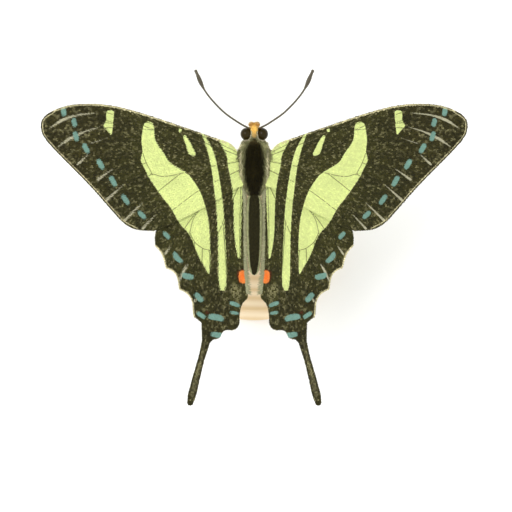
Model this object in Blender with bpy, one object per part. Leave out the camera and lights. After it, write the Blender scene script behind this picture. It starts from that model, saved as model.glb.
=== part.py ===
"""Kite swallowtail butterfly with spread wings, held over a small display stand.

Frame: metres, +Z up (the butterfly's back), +Y towards its head, +X its right side.
The origin is the centre of the stand's underside. The body, legs and wings are laid out
in millimetres from the wing joint, the point midway between the four wing roots.
"""
import math

import bmesh
import bpy
import numpy as np
from mathutils import Vector
from mathutils.geometry import delaunay_2d_cdt

MM = 0.001

# ---- Where the wing joint sits over the stand, mm --------------------------------------
JOINT = Vector((0.0, 13.3, 33.0))

# ---- Driving sizes, mm -----------------------------------------------------------------
FIT_GAP = 0.15            # clearance between pieces that touch
WING_THICKNESS = 0.5
WING_LAYER_STEP = 0.74    # forewing midplane above hindwing midplane
WING_RISE = 0.125         # upward slope of the wings away from the body
WING_SPAN_BOW = 0.0012    # how the slope eases towards the tips
WING_CHORD_BOW = 0.0015   # how the wings fall away fore and aft
WING_ROOT_X = 3.2
WING_GRID = 2.6           # spacing of the points inside a wing's outline
INNER_FOLD_DEPTH = 0.55   # how far the hindwing's inner edge folds down beside the abdomen
INNER_FOLD_WIDTH = 1.3
EYE_CENTRE = Vector((1.56, 6.22, -0.3))
EYE_RADII = Vector((1.09, 1.18, 1.33))
ANTENNA_RADIUS = 0.26
ANTENNA_CLUB_RADIUS = 0.5
PROBOSCIS_RADIUS = 0.25
PROBOSCIS_TURNS = 1.75
BODY_SIDES = 20
TUBE_SIDES = 8
BODY_ROUNDNESS = 2.35     # superellipse power of the body's cross-sections
ABDOMEN_SEGMENTS = 8
ABDOMEN_GROOVE = 0.05     # depth of the groove between two abdomen segments

BASE_RADIUS = 17.0
BASE_HEIGHT = 4.5
BASE_SIDES = 48
ROD_RADIUS = 0.9
ROD_SIDES = 20
ROD_Y = -2.2              # from the wing joint, under the hind part of the thorax
COLLAR_RADIUS = 2.6
COLLAR_HEIGHT = 1.8

# ---- Stations along the body: y, centre height, half width, half height -----------------
HEAD_STATIONS = (
    (4.98, -0.75, 0.9, 0.9), (5.25, -0.65, 1.3, 1.3), (5.7, -0.55, 1.15, 1.45),
    (6.3, -0.5, 0.95, 1.5), (6.9, -0.55, 1.0, 1.45), (7.4, -0.65, 1.0, 1.2),
    (7.7, -0.8, 0.65, 0.75))
NECK_STATIONS = ((4.3, -0.72, 2.6, 1.95), (4.6, -0.7, 2.45, 1.85), (4.85, -0.68, 2.05, 1.5))
THORAX_STATIONS = (
    (4.16, -0.75, 2.7, 2.1), (3.4, -0.78, 3.05, 2.5), (2.2, -0.8, 3.25, 2.85),
    (0.2, -0.82, 3.35, 2.98), (-1.5, -0.85, 3.25, 2.9), (-3.0, -0.9, 2.75, 2.45),
    (-4.5, -1.0, 2.05, 1.85), (-5.2, -1.1, 1.45, 1.35))
ABDOMEN_STATIONS = (
    (-5.35, -1.1, 0.95, 1.0), (-6.2, -1.1, 1.3, 1.4), (-8.5, -1.15, 1.5, 1.65),
    (-12.0, -1.3, 1.52, 1.65), (-15.5, -1.5, 1.42, 1.5), (-18.3, -1.7, 1.15, 1.2),
    (-20.0, -1.8, 0.8, 0.85), (-20.7, -1.85, 0.3, 0.35))

# ---- Wing outlines of the right side, from the wing joint -------------------------------
FOREWING_FRONT = (
    (3.2, 3.0), (4.6, 4.4), (7.2, 5.35), (13.3, 7.45), (20.9, 9.95), (26.3, 11.35), (30.3, 11.8),
    (34.6, 11.6), (38.0, 10.55), (40.0, 9.1), (40.45, 7.3), (39.8, 5.3), (37.2, 2.3),
    (31.4, -3.6), (26.9, -8.7), (24.9, -10.8), (22.6, -12.1), (19.0, -12.4))
FOREWING_HIND_BOW = 0.5
FOREWING_ROOT_SPAN = (2.6, -3.6)
HINDWING_COSTA = ((7.0, 0.9), (12.5, -2.6), (17.0, -8.2), (18.8, -12.4), (18.95, -15.2))
HINDWING_ROOT_SPAN = (-0.2, -4.4)
MARGIN_TEETH = ((18.95, -15.2), (16.85, -19.4), (14.3, -23.5), (11.6, -28.7))
SCALLOP_DEPTHS = (0.45, 0.9, 1.1)
SCALLOP_SKEW = 0.8        # below 1, the notch lies nearer the front tooth
TAIL_CENTRE = (
    (9.15, -31.2), (9.3, -33.6), (10.2, -37.0), (11.17, -40.6), (11.9, -43.6), (12.28, -45.24))
TAIL_HALF_WIDTHS = (1.02, 0.84, 0.7, 0.8, 0.88, 0.66)
TAIL_NOTCH = (10.15, -29.9)
HIND_LOBES = (
    (7.85, -33.2), (6.6, -32.8), (5.75, -31.5), (3.8, -31.3), (2.85, -30.3), (2.75, -28.5),
    (2.3, -26.5), (1.3, -25.3))
INNER_MARGIN = ((1.15, -24.4), (1.5, -22.2), (1.75, -18.5), (1.85, -13.5), (1.85, -9.0), (1.95, -6.2))

# ---- Limbs of the right side, from the wing joint ---------------------------------------
ANTENNA_PATH = (
    (0.6, 7.25, 0.8), (1.5, 7.5, 1.4), (2.9, 8.2, 1.95), (6.0, 10.4, 2.6), (9.2, 14.0, 3.0),
    (11.1, 18.0, 3.1))
PALP_PATH = ((0.45, 7.95, -1.9), (0.55, 8.2, -1.1), (0.6, 8.22, -0.2), (0.63, 8.15, 0.45))
PALP_RADII = (0.28, 0.44, 0.44, 0.28)
PROBOSCIS_CENTRE = (7.0, -3.6)
PROBOSCIS_SPIRAL = (0.35, 1.15)
LEG_JOINTS = {            # hip, knee, ankle, toe
    "foreleg": ((1.0, 3.0), (1.75, 5.3, -4.9), (1.7, 2.0, -7.3), (1.6, -1.8, -8.7)),
    "midleg": ((1.6, 0.9), (4.4, 2.6, -5.4), (4.2, -1.8, -8.0), (3.7, -6.2, -9.4)),
    "hindleg": ((1.8, -1.3), (3.4, -3.0, -6.0), (3.1, -8.0, -6.3), (2.4, -12.6, -7.4)),
}
LEG_RADII = (0.42, 0.36, 0.3, 0.27)

# ---- Colours: base colour, roughness, metallic -------------------------------------------
FINISHES = {
    "dark_scales": ((0.045, 0.042, 0.015), 0.75, 0.0),
    "green_hair": ((0.34, 0.37, 0.17), 0.85, 0.0),
    "thorax_hair": ((0.07, 0.065, 0.03), 0.85, 0.0),
    "wing_green": ((0.1, 0.1, 0.045), 0.7, 0.0),
    "eye": ((0.03, 0.022, 0.008), 0.25, 0.0),
    "cuticle": ((0.05, 0.04, 0.02), 0.45, 0.0),
    "maple": ((0.62, 0.44, 0.26), 0.5, 0.0),
    "steel": ((0.6, 0.6, 0.6), 0.3, 1.0),
    "brass": ((0.75, 0.55, 0.25), 0.3, 1.0),
}


def smooth_path(points, steps):
    """Return a Catmull-Rom curve through the points, with `steps` spans between neighbours."""
    pts = [np.array(p, dtype=float) for p in points]
    pts = [2 * pts[0] - pts[1]] + pts + [2 * pts[-1] - pts[-2]]
    curve = []
    for before, start, end, after in zip(pts, pts[1:], pts[2:], pts[3:]):
        for step in range(steps):
            t = step / steps
            curve.append(0.5 * (2 * start + (end - before) * t
                                + (2 * before - 5 * start + 4 * end - after) * t ** 2
                                + (3 * start - before - 3 * end + after) * t ** 3))
    curve.append(pts[-2])
    return curve


def add_object(name, finish, bm):
    """Close the mesh, turn its faces outwards and add it to the scene at the wing joint."""
    bmesh.ops.recalc_face_normals(bm, faces=bm.faces)
    if bm.calc_volume(signed=True) < 0:
        bmesh.ops.reverse_faces(bm, faces=bm.faces)
    mesh = bpy.data.meshes.new(name)
    bm.to_mesh(mesh)
    bm.free()
    mesh.shade_smooth()
    mesh.set_sharp_from_angle(angle=math.radians(40))
    mesh.materials.append(material(finish))
    obj = bpy.data.objects.new(name, mesh)
    bpy.context.scene.collection.objects.link(obj)
    return obj


def material(finish):
    """Return the finish's material, made on first use."""
    if finish in bpy.data.materials:
        return bpy.data.materials[finish]
    colour, roughness, metallic = FINISHES[finish]
    mat = bpy.data.materials.new(finish)
    mat.use_nodes = True
    shader = mat.node_tree.nodes["Principled BSDF"]
    shader.inputs["Base Color"].default_value = (*colour, 1.0)
    shader.inputs["Roughness"].default_value = roughness
    shader.inputs["Metallic"].default_value = metallic
    return mat


def mesh_from_rings(rings, place=JOINT):
    """Skin a row of rings and close both ends with a fan; ring points are in mm."""
    bm = bmesh.new()
    loops = [[bm.verts.new((Vector(p) + place) * MM) for p in ring] for ring in rings]
    for near, far in zip(loops, loops[1:]):
        for i in range(len(near)):
            j = (i + 1) % len(near)
            bm.faces.new((near[i], near[j], far[j], far[i]))
    for loop in (loops[0], loops[-1]):
        centre = sum((v.co for v in loop), Vector()) / len(loop)
        middle = bm.verts.new(centre)
        for i, vert in enumerate(loop):
            bm.faces.new((vert, loop[(i + 1) % len(loop)], middle))
    return bm


# ---- Body ---------------------------------------------------------------------------------
def body_ring(station):
    """Return one superellipse cross-section of the body."""
    y, centre_z, half_width, half_height = station
    ring = []
    for i in range(BODY_SIDES):
        angle = 2 * math.pi * i / BODY_SIDES
        c, s = math.cos(angle), math.sin(angle)
        power = 2 / BODY_ROUNDNESS
        ring.append((half_width * math.copysign(abs(c) ** power, c), y,
                     centre_z + half_height * math.copysign(abs(s) ** power, s)))
    return ring


def body_part(name, finish, stations, steps):
    """Add one loft of the body through its stations."""
    rings = [body_ring(station) for station in smooth_path(stations, steps)]
    return add_object(name, finish, mesh_from_rings(rings))


def station_at(stations, y):
    """Return the body's cross-section at y, read between the stations."""
    rows = np.array(sorted(stations))
    return [float(np.interp(y, rows[:, 0], rows[:, column])) for column in range(4)]


def thorax_side(y, z):
    """Return the thorax's half width at y and height z."""
    _, centre_z, half_width, half_height = station_at(THORAX_STATIONS, y)
    rise = min(abs(z - centre_z) / half_height, 0.99)
    return half_width * (1 - rise ** BODY_ROUNDNESS) ** (1 / BODY_ROUNDNESS)


def thorax_underside(x, y):
    """Return the height of the thorax's underside at x, y."""
    _, centre_z, half_width, half_height = station_at(THORAX_STATIONS, y)
    out = min(abs(x) / half_width, 0.99)
    return centre_z - half_height * (1 - out ** BODY_ROUNDNESS) ** (1 / BODY_ROUNDNESS)


def build_abdomen():
    """Add the abdomen, with a shallow groove between each two segments."""
    rows = smooth_path(ABDOMEN_STATIONS, 4)
    length = ABDOMEN_STATIONS[0][0] - ABDOMEN_STATIONS[-1][0]
    grooved = []
    for y, centre_z, half_width, half_height in rows:
        along = (ABDOMEN_STATIONS[0][0] - y) / length
        swell = abs(math.sin(math.pi * ABDOMEN_SEGMENTS * along)) ** 0.5
        scale = 1 - ABDOMEN_GROOVE * (1 - swell)
        grooved.append((y, centre_z, half_width * scale, half_height * scale))
    rings = [body_ring(row) for row in grooved]
    add_object("abdomen", "dark_scales", mesh_from_rings(rings))


def ellipsoid(radii, centre, rings, sides):
    """Return a closed ellipsoid as a bmesh, in mm from the wing joint."""
    bm = bmesh.new()
    bmesh.ops.create_uvsphere(bm, u_segments=sides, v_segments=rings, radius=1.0)
    for vert in bm.verts:
        scaled = Vector((vert.co.x * radii.x, vert.co.y * radii.y, vert.co.z * radii.z))
        vert.co = (scaled + centre + JOINT) * MM
    return bm


def build_head():
    """Add the head, with a socket for each eye, and the two eyes."""
    head = body_part("head", "green_hair", HEAD_STATIONS, 3)
    clearance = Vector((FIT_GAP, FIT_GAP, FIT_GAP))
    for side, label in ((-1, "left"), (1, "right")):
        centre = Vector((side * EYE_CENTRE.x, EYE_CENTRE.y, EYE_CENTRE.z))
        cutter = add_object(f"eye_socket_{label}", "eye",
                            ellipsoid(EYE_RADII + clearance, centre, 14, 20))
        cutter.hide_render = True
        cutter.display_type = "WIRE"
        cut = head.modifiers.new(f"socket_{label}", "BOOLEAN")
        cut.operation = "DIFFERENCE"
        cut.solver = "EXACT"
        cut.object = cutter
        add_object(f"eye_{label}", "eye", ellipsoid(EYE_RADII, centre, 10, 16))


# ---- Tubes: legs, antennae, palps, proboscis -----------------------------------------------
def tube(name, finish, path, radii, sides=TUBE_SIDES):
    """Add a round-ended tube along the path, in mm, with a radius for each point."""
    points = [Vector(p) for p in path]
    tangents = []
    for i in range(len(points)):
        ahead = points[min(i + 1, len(points) - 1)]
        behind = points[max(i - 1, 0)]
        tangents.append((ahead - behind).normalized())
    normal = tangents[0].orthogonal().normalized()
    rings = []
    for i, (point, tangent, radius) in enumerate(zip(points, tangents, radii)):
        normal = (normal - tangent * normal.dot(tangent)).normalized()
        across = tangent.cross(normal)
        ring_angles = [2 * math.pi * k / sides for k in range(sides)]
        ring = [(normal * math.cos(a) + across * math.sin(a)) * radius for a in ring_angles]
        if i == 0:
            rings.append([point - tangent * radius * 0.7 + p * 0.55 for p in ring])
        rings.append([point + p for p in ring])
        if i == len(points) - 1:
            rings.append([point + tangent * radius * 0.7 + p * 0.55 for p in ring])
    return add_object(name, finish, mesh_from_rings(rings))


def mirrored(path, side):
    """Return the path of the right side, or its mirror image for side -1."""
    return [(side * p[0], p[1], p[2]) for p in path]


def radii_along(radii, count):
    """Spread a few radii evenly over `count` points."""
    return np.interp(np.linspace(0, len(radii) - 1, count), range(len(radii)), radii)


def build_antenna(side, label):
    """Add one clubbed antenna."""
    path = smooth_path(mirrored(ANTENNA_PATH, side), 4)
    club_start = 0.78
    radii = []
    for i in range(len(path)):
        along = i / (len(path) - 1)
        swell = max(0.0, (along - club_start) / (1 - club_start))
        bulge = math.sin(math.pi * min(swell, 0.86)) if swell > 0 else 0.0
        radii.append(ANTENNA_RADIUS + (ANTENNA_CLUB_RADIUS - ANTENNA_RADIUS) * bulge)
    tube(f"antenna_{label}", "cuticle", path, radii)


def build_palp(side, label):
    """Add one upturned palp in front of the face."""
    path = smooth_path(mirrored(PALP_PATH, side), 3)
    tube(f"palp_{label}", "green_hair", path, radii_along(PALP_RADII, len(path)), sides=10)


def build_proboscis():
    """Add the tongue, coiled under the head."""
    centre_y, centre_z = PROBOSCIS_CENTRE
    inner, outer = PROBOSCIS_SPIRAL
    count = int(PROBOSCIS_TURNS * 16)
    path = []
    for i in range(count + 1):
        along = i / count
        angle = math.pi / 2 - 2 * math.pi * PROBOSCIS_TURNS * (1 - along)
        reach = inner + (outer - inner) * along
        path.append((0.0, centre_y + reach * math.cos(angle), centre_z + reach * math.sin(angle)))
    tube("proboscis", "cuticle", path, [PROBOSCIS_RADIUS] * len(path))


def build_leg(leg, side, label):
    """Add one leg: hip, knee, ankle and toe, with a slight bend in each length."""
    (hip_x, hip_y), knee, ankle, toe = LEG_JOINTS[leg]
    hip_z = thorax_underside(hip_x, hip_y) - LEG_RADII[0] - FIT_GAP
    joints = [np.array(p) for p in ((hip_x, hip_y, hip_z), knee, ankle, toe)]
    path = []
    for start, end in zip(joints, joints[1:]):
        for t in (0.0, 0.12, 0.5, 0.88):
            path.append(start + (end - start) * t)
    path.append(joints[-1])
    tube(f"{leg}_{label}", "cuticle", mirrored(path, side), radii_along(LEG_RADII, len(path)))


# ---- Wings ----------------------------------------------------------------------------------
def wing_height(x, y):
    """Return the height of the wings' common surface over the joint."""
    span = max(x - WING_ROOT_X, 0.0)
    return WING_RISE * span - WING_SPAN_BOW * span ** 2 - WING_CHORD_BOW * y ** 2


def forewing_height(x, y):
    """Return the height of the forewing's midplane."""
    return wing_height(x, y) + WING_LAYER_STEP / 2


def hindwing_height(x, y):
    """Return the height of the hindwing's midplane, folded down along its inner edge."""
    beside = math.exp(-(max(x - INNER_MARGIN[3][0], 0.0) / INNER_FOLD_WIDTH) ** 2)
    fade = min(max((-y - 5.0) / 3.0, 0.0), 1.0)
    return wing_height(x, y) - WING_LAYER_STEP / 2 - INNER_FOLD_DEPTH * beside * fade


def root_edge(span, height, count=4):
    """Return the points of a wing's root, following the thorax from back to front."""
    front, back = span
    points = []
    for y in np.linspace(back, front, count):
        side = max(thorax_side(y, height(WING_ROOT_X, y) + d) for d in (-0.25, 0.25))
        points.append(np.array((side + FIT_GAP, y)))
    return points


def forewing_outline():
    """Return the right forewing's outline, in mm from the wing joint."""
    outline = smooth_path(FOREWING_FRONT, 3)
    root = root_edge(FOREWING_ROOT_SPAN, forewing_height)
    corner, back = outline[-1], root[0]
    chord = back - corner
    across = np.array((chord[1], -chord[0])) / np.hypot(*chord)
    for t in np.linspace(0, 1, 8)[1:-1]:
        bow = FOREWING_HIND_BOW * math.sin(math.pi * t)
        outline.append(corner + chord * t - across * bow)
    return outline + root


def scalloped_margin():
    """Return the hindwing's outer margin, a hollow between each two teeth."""
    points = []
    for start, end, depth in zip(MARGIN_TEETH, MARGIN_TEETH[1:], SCALLOP_DEPTHS):
        start, end = np.array(start), np.array(end)
        chord = end - start
        inward = np.array((chord[1], -chord[0])) / np.hypot(*chord)
        for t in np.linspace(0, 1, 9)[:-1]:
            hollow = math.sin(math.pi * t ** SCALLOP_SKEW) ** 1.3
            points.append(start + chord * t + inward * depth * hollow)
    points.append(np.array(MARGIN_TEETH[-1]))
    return points


def tail_outline():
    """Return the tail's outline, down its outer side, round the tip and up its inner side."""
    centre = smooth_path(TAIL_CENTRE, 3)
    widths = radii_along(TAIL_HALF_WIDTHS, len(centre))
    outer, inner = [], []
    for i, point in enumerate(centre):
        ahead = centre[min(i + 1, len(centre) - 1)] - centre[max(i - 1, 0)]
        side = np.array((-ahead[1], ahead[0])) / np.hypot(*ahead)
        outer.append(point + side * widths[i])
        inner.append(point - side * widths[i])
    end, reach = centre[-1], widths[-1]
    heading = math.atan2(*(centre[-1] - centre[-2])[::-1])
    tip = [end + reach * np.array((math.cos(heading + a), math.sin(heading + a)))
           for a in np.linspace(math.pi / 2, -math.pi / 2, 7)[1:-1]]
    return outer[1:] + tip + inner[:2:-1]


def hindwing_outline():
    """Return the right hindwing's outline, in mm from the wing joint."""
    root = root_edge(HINDWING_ROOT_SPAN, hindwing_height)
    costa = smooth_path([root[-1]] + list(HINDWING_COSTA), 3)
    lobes = smooth_path(HIND_LOBES, 3)
    inner = smooth_path([lobes[-1]] + list(INNER_MARGIN) + [root[0]], 2)
    return (costa[:-1] + scalloped_margin() + [np.array(TAIL_NOTCH)] + tail_outline()
            + lobes + inner[1:-1] + root[:-1])


def inside(outline, x, y):
    """Return whether the point is inside the outline and how far it is from it."""
    ring = np.array(outline)
    following = np.roll(ring, -1, axis=0)
    edge = following - ring
    offset = np.array((x, y)) - ring
    t = np.clip((offset * edge).sum(1) / np.maximum((edge ** 2).sum(1), 1e-12), 0, 1)
    distance = np.hypot(*(offset - edge * t[:, None]).T).min()
    crosses = (ring[:, 1] > y) != (following[:, 1] > y)
    slope = np.where(edge[:, 1] == 0, 1e-12, edge[:, 1])
    at = ring[:, 0] + (y - ring[:, 1]) * edge[:, 0] / slope
    return bool((crosses & (x < at)).sum() % 2), distance


def wing(name, outline, height, side):
    """Add one wing, a slab of even thickness over its outline."""
    points = [Vector(p) for p in outline]
    ring = np.array(outline)
    xs = np.arange(ring[:, 0].min(), ring[:, 0].max(), WING_GRID)
    ys = np.arange(ring[:, 1].min(), ring[:, 1].max(), WING_GRID)
    for row, y in enumerate(ys):
        for x in xs + (row % 2) * WING_GRID / 2:
            within, distance = inside(outline, x, y)
            if within and distance > 0.4 * WING_GRID:
                points.append(Vector((x, y)))
    flat, _, faces, _, _, _ = delaunay_2d_cdt(points, [], [list(range(len(outline)))], 1, 1e-6)
    bm = bmesh.new()
    half = WING_THICKNESS / 2
    layers = []
    for offset in (-half, half):
        layers.append([bm.verts.new((Vector((side * p.x, p.y, height(p.x, p.y) + offset))
                                     + JOINT) * MM) for p in flat])
    for face in faces:
        bm.faces.new([layers[1][i] for i in face])
        bm.faces.new([layers[0][i] for i in reversed(face)])
    partner = dict(zip(layers[1], layers[0]))
    for edge in [e for e in bm.edges if e.is_boundary and e.verts[0] in partner]:
        a, b = edge.verts
        bm.faces.new((a, b, partner[b], partner[a]))
    add_object(name, "wing_green", bm)


# ---- Stand ----------------------------------------------------------------------------------
def turned(name, finish, profile, sides, axis, closed=False):
    """Add a piece turned about a vertical axis from (radius, height) points in mm."""
    rings = []
    for radius, z in profile:
        rings.append([(axis[0] + radius * math.cos(2 * math.pi * i / sides),
                       axis[1] + radius * math.sin(2 * math.pi * i / sides), z)
                      for i in range(sides)])
    if not closed:
        return add_object(name, finish, mesh_from_rings(rings, Vector()))
    bm = bmesh.new()
    loops = [[bm.verts.new(Vector(p) * MM) for p in ring] for ring in rings]
    for near, far in zip(loops, loops[1:] + loops[:1]):
        for i in range(sides):
            j = (i + 1) % sides
            bm.faces.new((near[i], near[j], far[j], far[i]))
    return add_object(name, finish, bm)


def build_stand():
    """Add the round base, the rod under the thorax and the collar at its foot."""
    r, h = BASE_RADIUS, BASE_HEIGHT
    base_profile = ((r - 0.5, 0.0), (r, 0.5), (r, h - 2.0), (r - 0.25, h - 1.3), (r - 0.9, h - 0.7),
                    (r - 1.8, h - 0.35), (r - 2.0, h))
    turned("stand_base", "maple", base_profile, BASE_SIDES, (0.0, 0.0))
    axis = (JOINT.x, JOINT.y + ROD_Y)
    foot = h + FIT_GAP
    top = JOINT.z + thorax_underside(0.0, ROD_Y) - FIT_GAP
    rod_profile = ((ROD_RADIUS, foot), (ROD_RADIUS, top - 0.3), (ROD_RADIUS - 0.3, top))
    turned("stand_rod", "steel", rod_profile, ROD_SIDES, axis)
    bore, c = ROD_RADIUS + FIT_GAP, COLLAR_RADIUS
    collar_profile = ((bore, foot), (c, foot), (c, foot + 0.7), (c - 0.9, foot + 1.1),
                      (c - 1.0, foot + COLLAR_HEIGHT), (bore, foot + COLLAR_HEIGHT))
    turned("stand_collar", "brass", collar_profile, ROD_SIDES, axis, closed=True)


def build():
    """Build the whole butterfly and its stand."""
    for obj in list(bpy.data.objects):
        bpy.data.objects.remove(obj, do_unlink=True)
    build_head()
    body_part("neck", "green_hair", NECK_STATIONS, 2)
    body_part("thorax", "thorax_hair", THORAX_STATIONS, 3)
    build_abdomen()
    build_proboscis()
    for side, label in ((-1, "left"), (1, "right")):
        build_palp(side, label)
        build_antenna(side, label)
        for leg in LEG_JOINTS:
            build_leg(leg, side, label)
        wing(f"forewing_{label}", forewing_outline(), forewing_height, side)
        wing(f"hindwing_{label}", hindwing_outline(), hindwing_height, side)
    build_stand()


build()
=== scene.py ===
"""Finished surfaces of a kite swallowtail butterfly held over its display stand.

Shapes are laid out in millimetres from the wing joint, the point midway between the four
wing roots, and are turned to metres over the stand when a mesh is made. +X is the
butterfly's right, +Y is towards its head, +Z is out of its back.
"""
import logging
import math
from dataclasses import dataclass, field
from enum import Enum
from typing import Sequence

import bpy
import numpy as np
from numpy.random import default_rng
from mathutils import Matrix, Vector
from mathutils.geometry import delaunay_2d_cdt
from mathutils.kdtree import KDTree


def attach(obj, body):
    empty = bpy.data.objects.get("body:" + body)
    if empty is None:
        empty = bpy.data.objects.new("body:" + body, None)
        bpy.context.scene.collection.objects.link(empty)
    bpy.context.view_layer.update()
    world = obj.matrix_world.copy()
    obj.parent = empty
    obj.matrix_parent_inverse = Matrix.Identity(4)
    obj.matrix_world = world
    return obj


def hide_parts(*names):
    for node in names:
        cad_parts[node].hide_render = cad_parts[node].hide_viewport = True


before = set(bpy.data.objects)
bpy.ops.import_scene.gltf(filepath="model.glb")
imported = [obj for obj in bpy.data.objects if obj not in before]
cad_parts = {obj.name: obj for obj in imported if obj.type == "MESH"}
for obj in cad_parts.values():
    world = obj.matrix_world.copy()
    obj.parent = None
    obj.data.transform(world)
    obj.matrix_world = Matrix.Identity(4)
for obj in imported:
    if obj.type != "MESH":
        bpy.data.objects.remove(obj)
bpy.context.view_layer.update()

LOG = logging.getLogger("butterfly")
MM = 0.001
JOINT = np.array((0.0, 13.3, 33.0))  # the wing joint over the stand's underside, mm
SIZE_SPREAD = (0.85, 1.15)  # how far single scales' sizes differ
LIFT_SPREAD = (0.5, 1.2)  # and how far their tips stand off
HAIR_SPREAD = (0.7, 1.25)  # how far single tufts' lengths differ

Pair = tuple[float, float]
Triple = tuple[float, float, float]
Row = tuple[float, ...]
Line = tuple[Pair, ...]
Line3 = tuple[Triple, ...]
Array = np.ndarray
Fields = dict[str, Array]
Material = bpy.types.Material
Tree = bpy.types.NodeTree
Socket = bpy.types.NodeSocket


class Side(Enum):
    """Which half of the butterfly a piece belongs to; the value turns +X to that side."""

    LEFT = -1
    RIGHT = 1

    @property
    def label(self) -> str:
        """The side's name in node names."""
        return self.name.lower()

    @property
    def mirror(self) -> Array:
        """What turns a point of the right side to this side."""
        return np.array((self.value, 1.0, 1.0))


class Slot(Enum):
    """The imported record's material slots."""

    WING = "wing_scales"
    BODY = "body_coat"
    ABDOMEN = "abdomen_scales"
    EYE = "eye_surface"
    CUTICLE = "cuticle"
    WOOD = "stand_wood"
    STEEL = "rod_steel"
    BRASS = "collar_brass"


# ---- Curves and fields ----
def smooth_path(points: Sequence, steps: int, closed: bool = False) -> Array:
    """Run a Catmull-Rom curve through the points.

    Args:
        points: The points, of two or more numbers each.
        steps: How many spans lie between two neighbours.
        closed: Whether the curve returns to its first point.

    Returns:
        The curve's points, one to a row.
    """
    pts = np.array(points, dtype=float)
    if closed:
        pts = np.vstack((pts[-1:], pts, pts[:2]))
    else:
        pts = np.vstack((2 * pts[0] - pts[1], pts, 2 * pts[-1] - pts[-2]))
    t = (np.arange(steps) / steps)[:, None]
    curve = []
    for before, start, end, after in zip(pts, pts[1:], pts[2:], pts[3:]):
        bend = 2 * before - 5 * start + 4 * end - after
        twist = 3 * start - before - 3 * end + after
        curve.append(0.5 * (2 * start + (end - before) * t + bend * t ** 2 + twist * t ** 3))
    if not closed:
        curve.append(pts[-2][None])
    return np.vstack(curve)


def even_steps(path: Array, step: float) -> Array:
    """Read points off a path at even distances.

    Args:
        path: The path's points, one to a row.
        step: The distance wanted between neighbours, mm.

    Returns:
        The evenly spaced points.
    """
    lengths = np.linalg.norm(np.diff(path, axis=0), axis=1)
    along = np.concatenate(([0.0], np.cumsum(lengths)))
    at = np.linspace(0.0, along[-1], max(int(along[-1] / step), 1) + 1)
    return np.column_stack([np.interp(at, along, column) for column in path.T])


def left_of(ways: Array) -> Array:
    """Return the flat ways turned to their left, at length one."""
    return unit(ways[:, ::-1] * (-1.0, 1.0))


def beside(line: Array, distance: float) -> Array:
    """Return a flat line moved to its right by a distance."""
    return line - distance * left_of(np.gradient(line, axis=0))


def line_offsets(line: Array, points: Array) -> tuple[Array, Array]:
    """Measure how far points lie from an open line, and where along it.

    Args:
        line: The line's corners (n, 2).
        points: The points (m, 2).

    Returns:
        The distance of each point, and its place along the line in corners.
    """
    best = np.full(len(points), 1e9)
    place = np.zeros(len(points))
    for i, (start, end) in enumerate(zip(line, line[1:])):
        edge = end - start
        t = np.clip((points - start) @ edge / max(edge @ edge, 1e-12), 0.0, 1.0)
        gap = np.linalg.norm(points - start - t[:, None] * edge, axis=1)
        nearer = gap < best
        best[nearer] = gap[nearer]
        place[nearer] = (i + t)[nearer]
    return best, place


def outline_reach(outline: Array, points: Array) -> Array:
    """Measure how deep points lie inside a closed outline.

    Args:
        outline: The outline's corners (n, 2).
        points: The points (m, 2).

    Returns:
        The depth of each point in mm, below zero outside.
    """
    ring = np.vstack((outline, outline[:1]))
    distance, _ = line_offsets(ring, points)
    within = np.zeros(len(points), dtype=bool)
    for (ax, ay), (bx, by) in zip(ring, ring[1:]):
        crosses = (ay > points[:, 1]) != (by > points[:, 1])
        if crosses.any():
            at = ax + (points[:, 1] - ay) * (bx - ax) / (by - ay if by != ay else 1e-12)
            within ^= crosses & (points[:, 0] < at)
    return np.where(within, distance, -distance)


def cloud(u: Array, v: Array, seed: int) -> Array:
    """Give a smooth random value at each place of a plane.

    Args:
        u: First coordinates, one patch of colour to a unit.
        v: Second coordinates.
        seed: Which cloud.

    Returns:
        Values from 0 to 1.
    """
    table = default_rng(seed).random((128, 128))
    iu, iv = np.floor(u).astype(int), np.floor(v).astype(int)
    fu, fv = u - iu, v - iv
    fu, fv = fu * fu * (3 - 2 * fu), fv * fv * (3 - 2 * fv)
    a, b = table[iu % 128, iv % 128], table[(iu + 1) % 128, iv % 128]
    c, d = table[iu % 128, (iv + 1) % 128], table[(iu + 1) % 128, (iv + 1) % 128]
    return (a * (1 - fu) + b * fu) * (1 - fv) + (c * (1 - fu) + d * fu) * fv


def unit(vectors: Array) -> Array:
    """Return the vectors at length one."""
    return vectors / np.maximum(np.linalg.norm(vectors, axis=-1, keepdims=True), 1e-12)


# ---- Meshes ----
@dataclass
class Shape:
    """A mesh being made, in mm from the wing joint.

    `faces` holds arrays of corner numbers, each with one face to a row.
    """

    points: Array
    faces: list[Array]

    def on(self, side: Side) -> "Shape":
        """Return a shape of the right side as it is on that side."""
        return Shape(self.points * side.mirror, [rows[:, ::side.value] for rows in self.faces])

    def to_mesh(self, name: str, scale: float = 1.0) -> bpy.types.Mesh:
        """Make the Blender mesh.

        Args:
            name: The mesh's name.
            scale: What one unit of the shape is in the mesh.

        Returns:
            The mesh.
        """
        mesh = bpy.data.meshes.new(name)
        corners = np.concatenate([rows.ravel() for rows in self.faces])
        counts = np.concatenate([np.full(len(rows), rows.shape[1]) for rows in self.faces])
        starts = np.concatenate(([0], np.cumsum(counts)[:-1]))
        mesh.vertices.add(len(self.points))
        mesh.loops.add(len(corners))
        mesh.polygons.add(len(counts))
        mesh.vertices.foreach_set("co", (self.points * scale).ravel())
        mesh.loops.foreach_set("vertex_index", corners.astype(np.int32))
        mesh.polygons.foreach_set("loop_start", starts.astype(np.int32))
        mesh.update(calc_edges=True)
        return mesh


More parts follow.
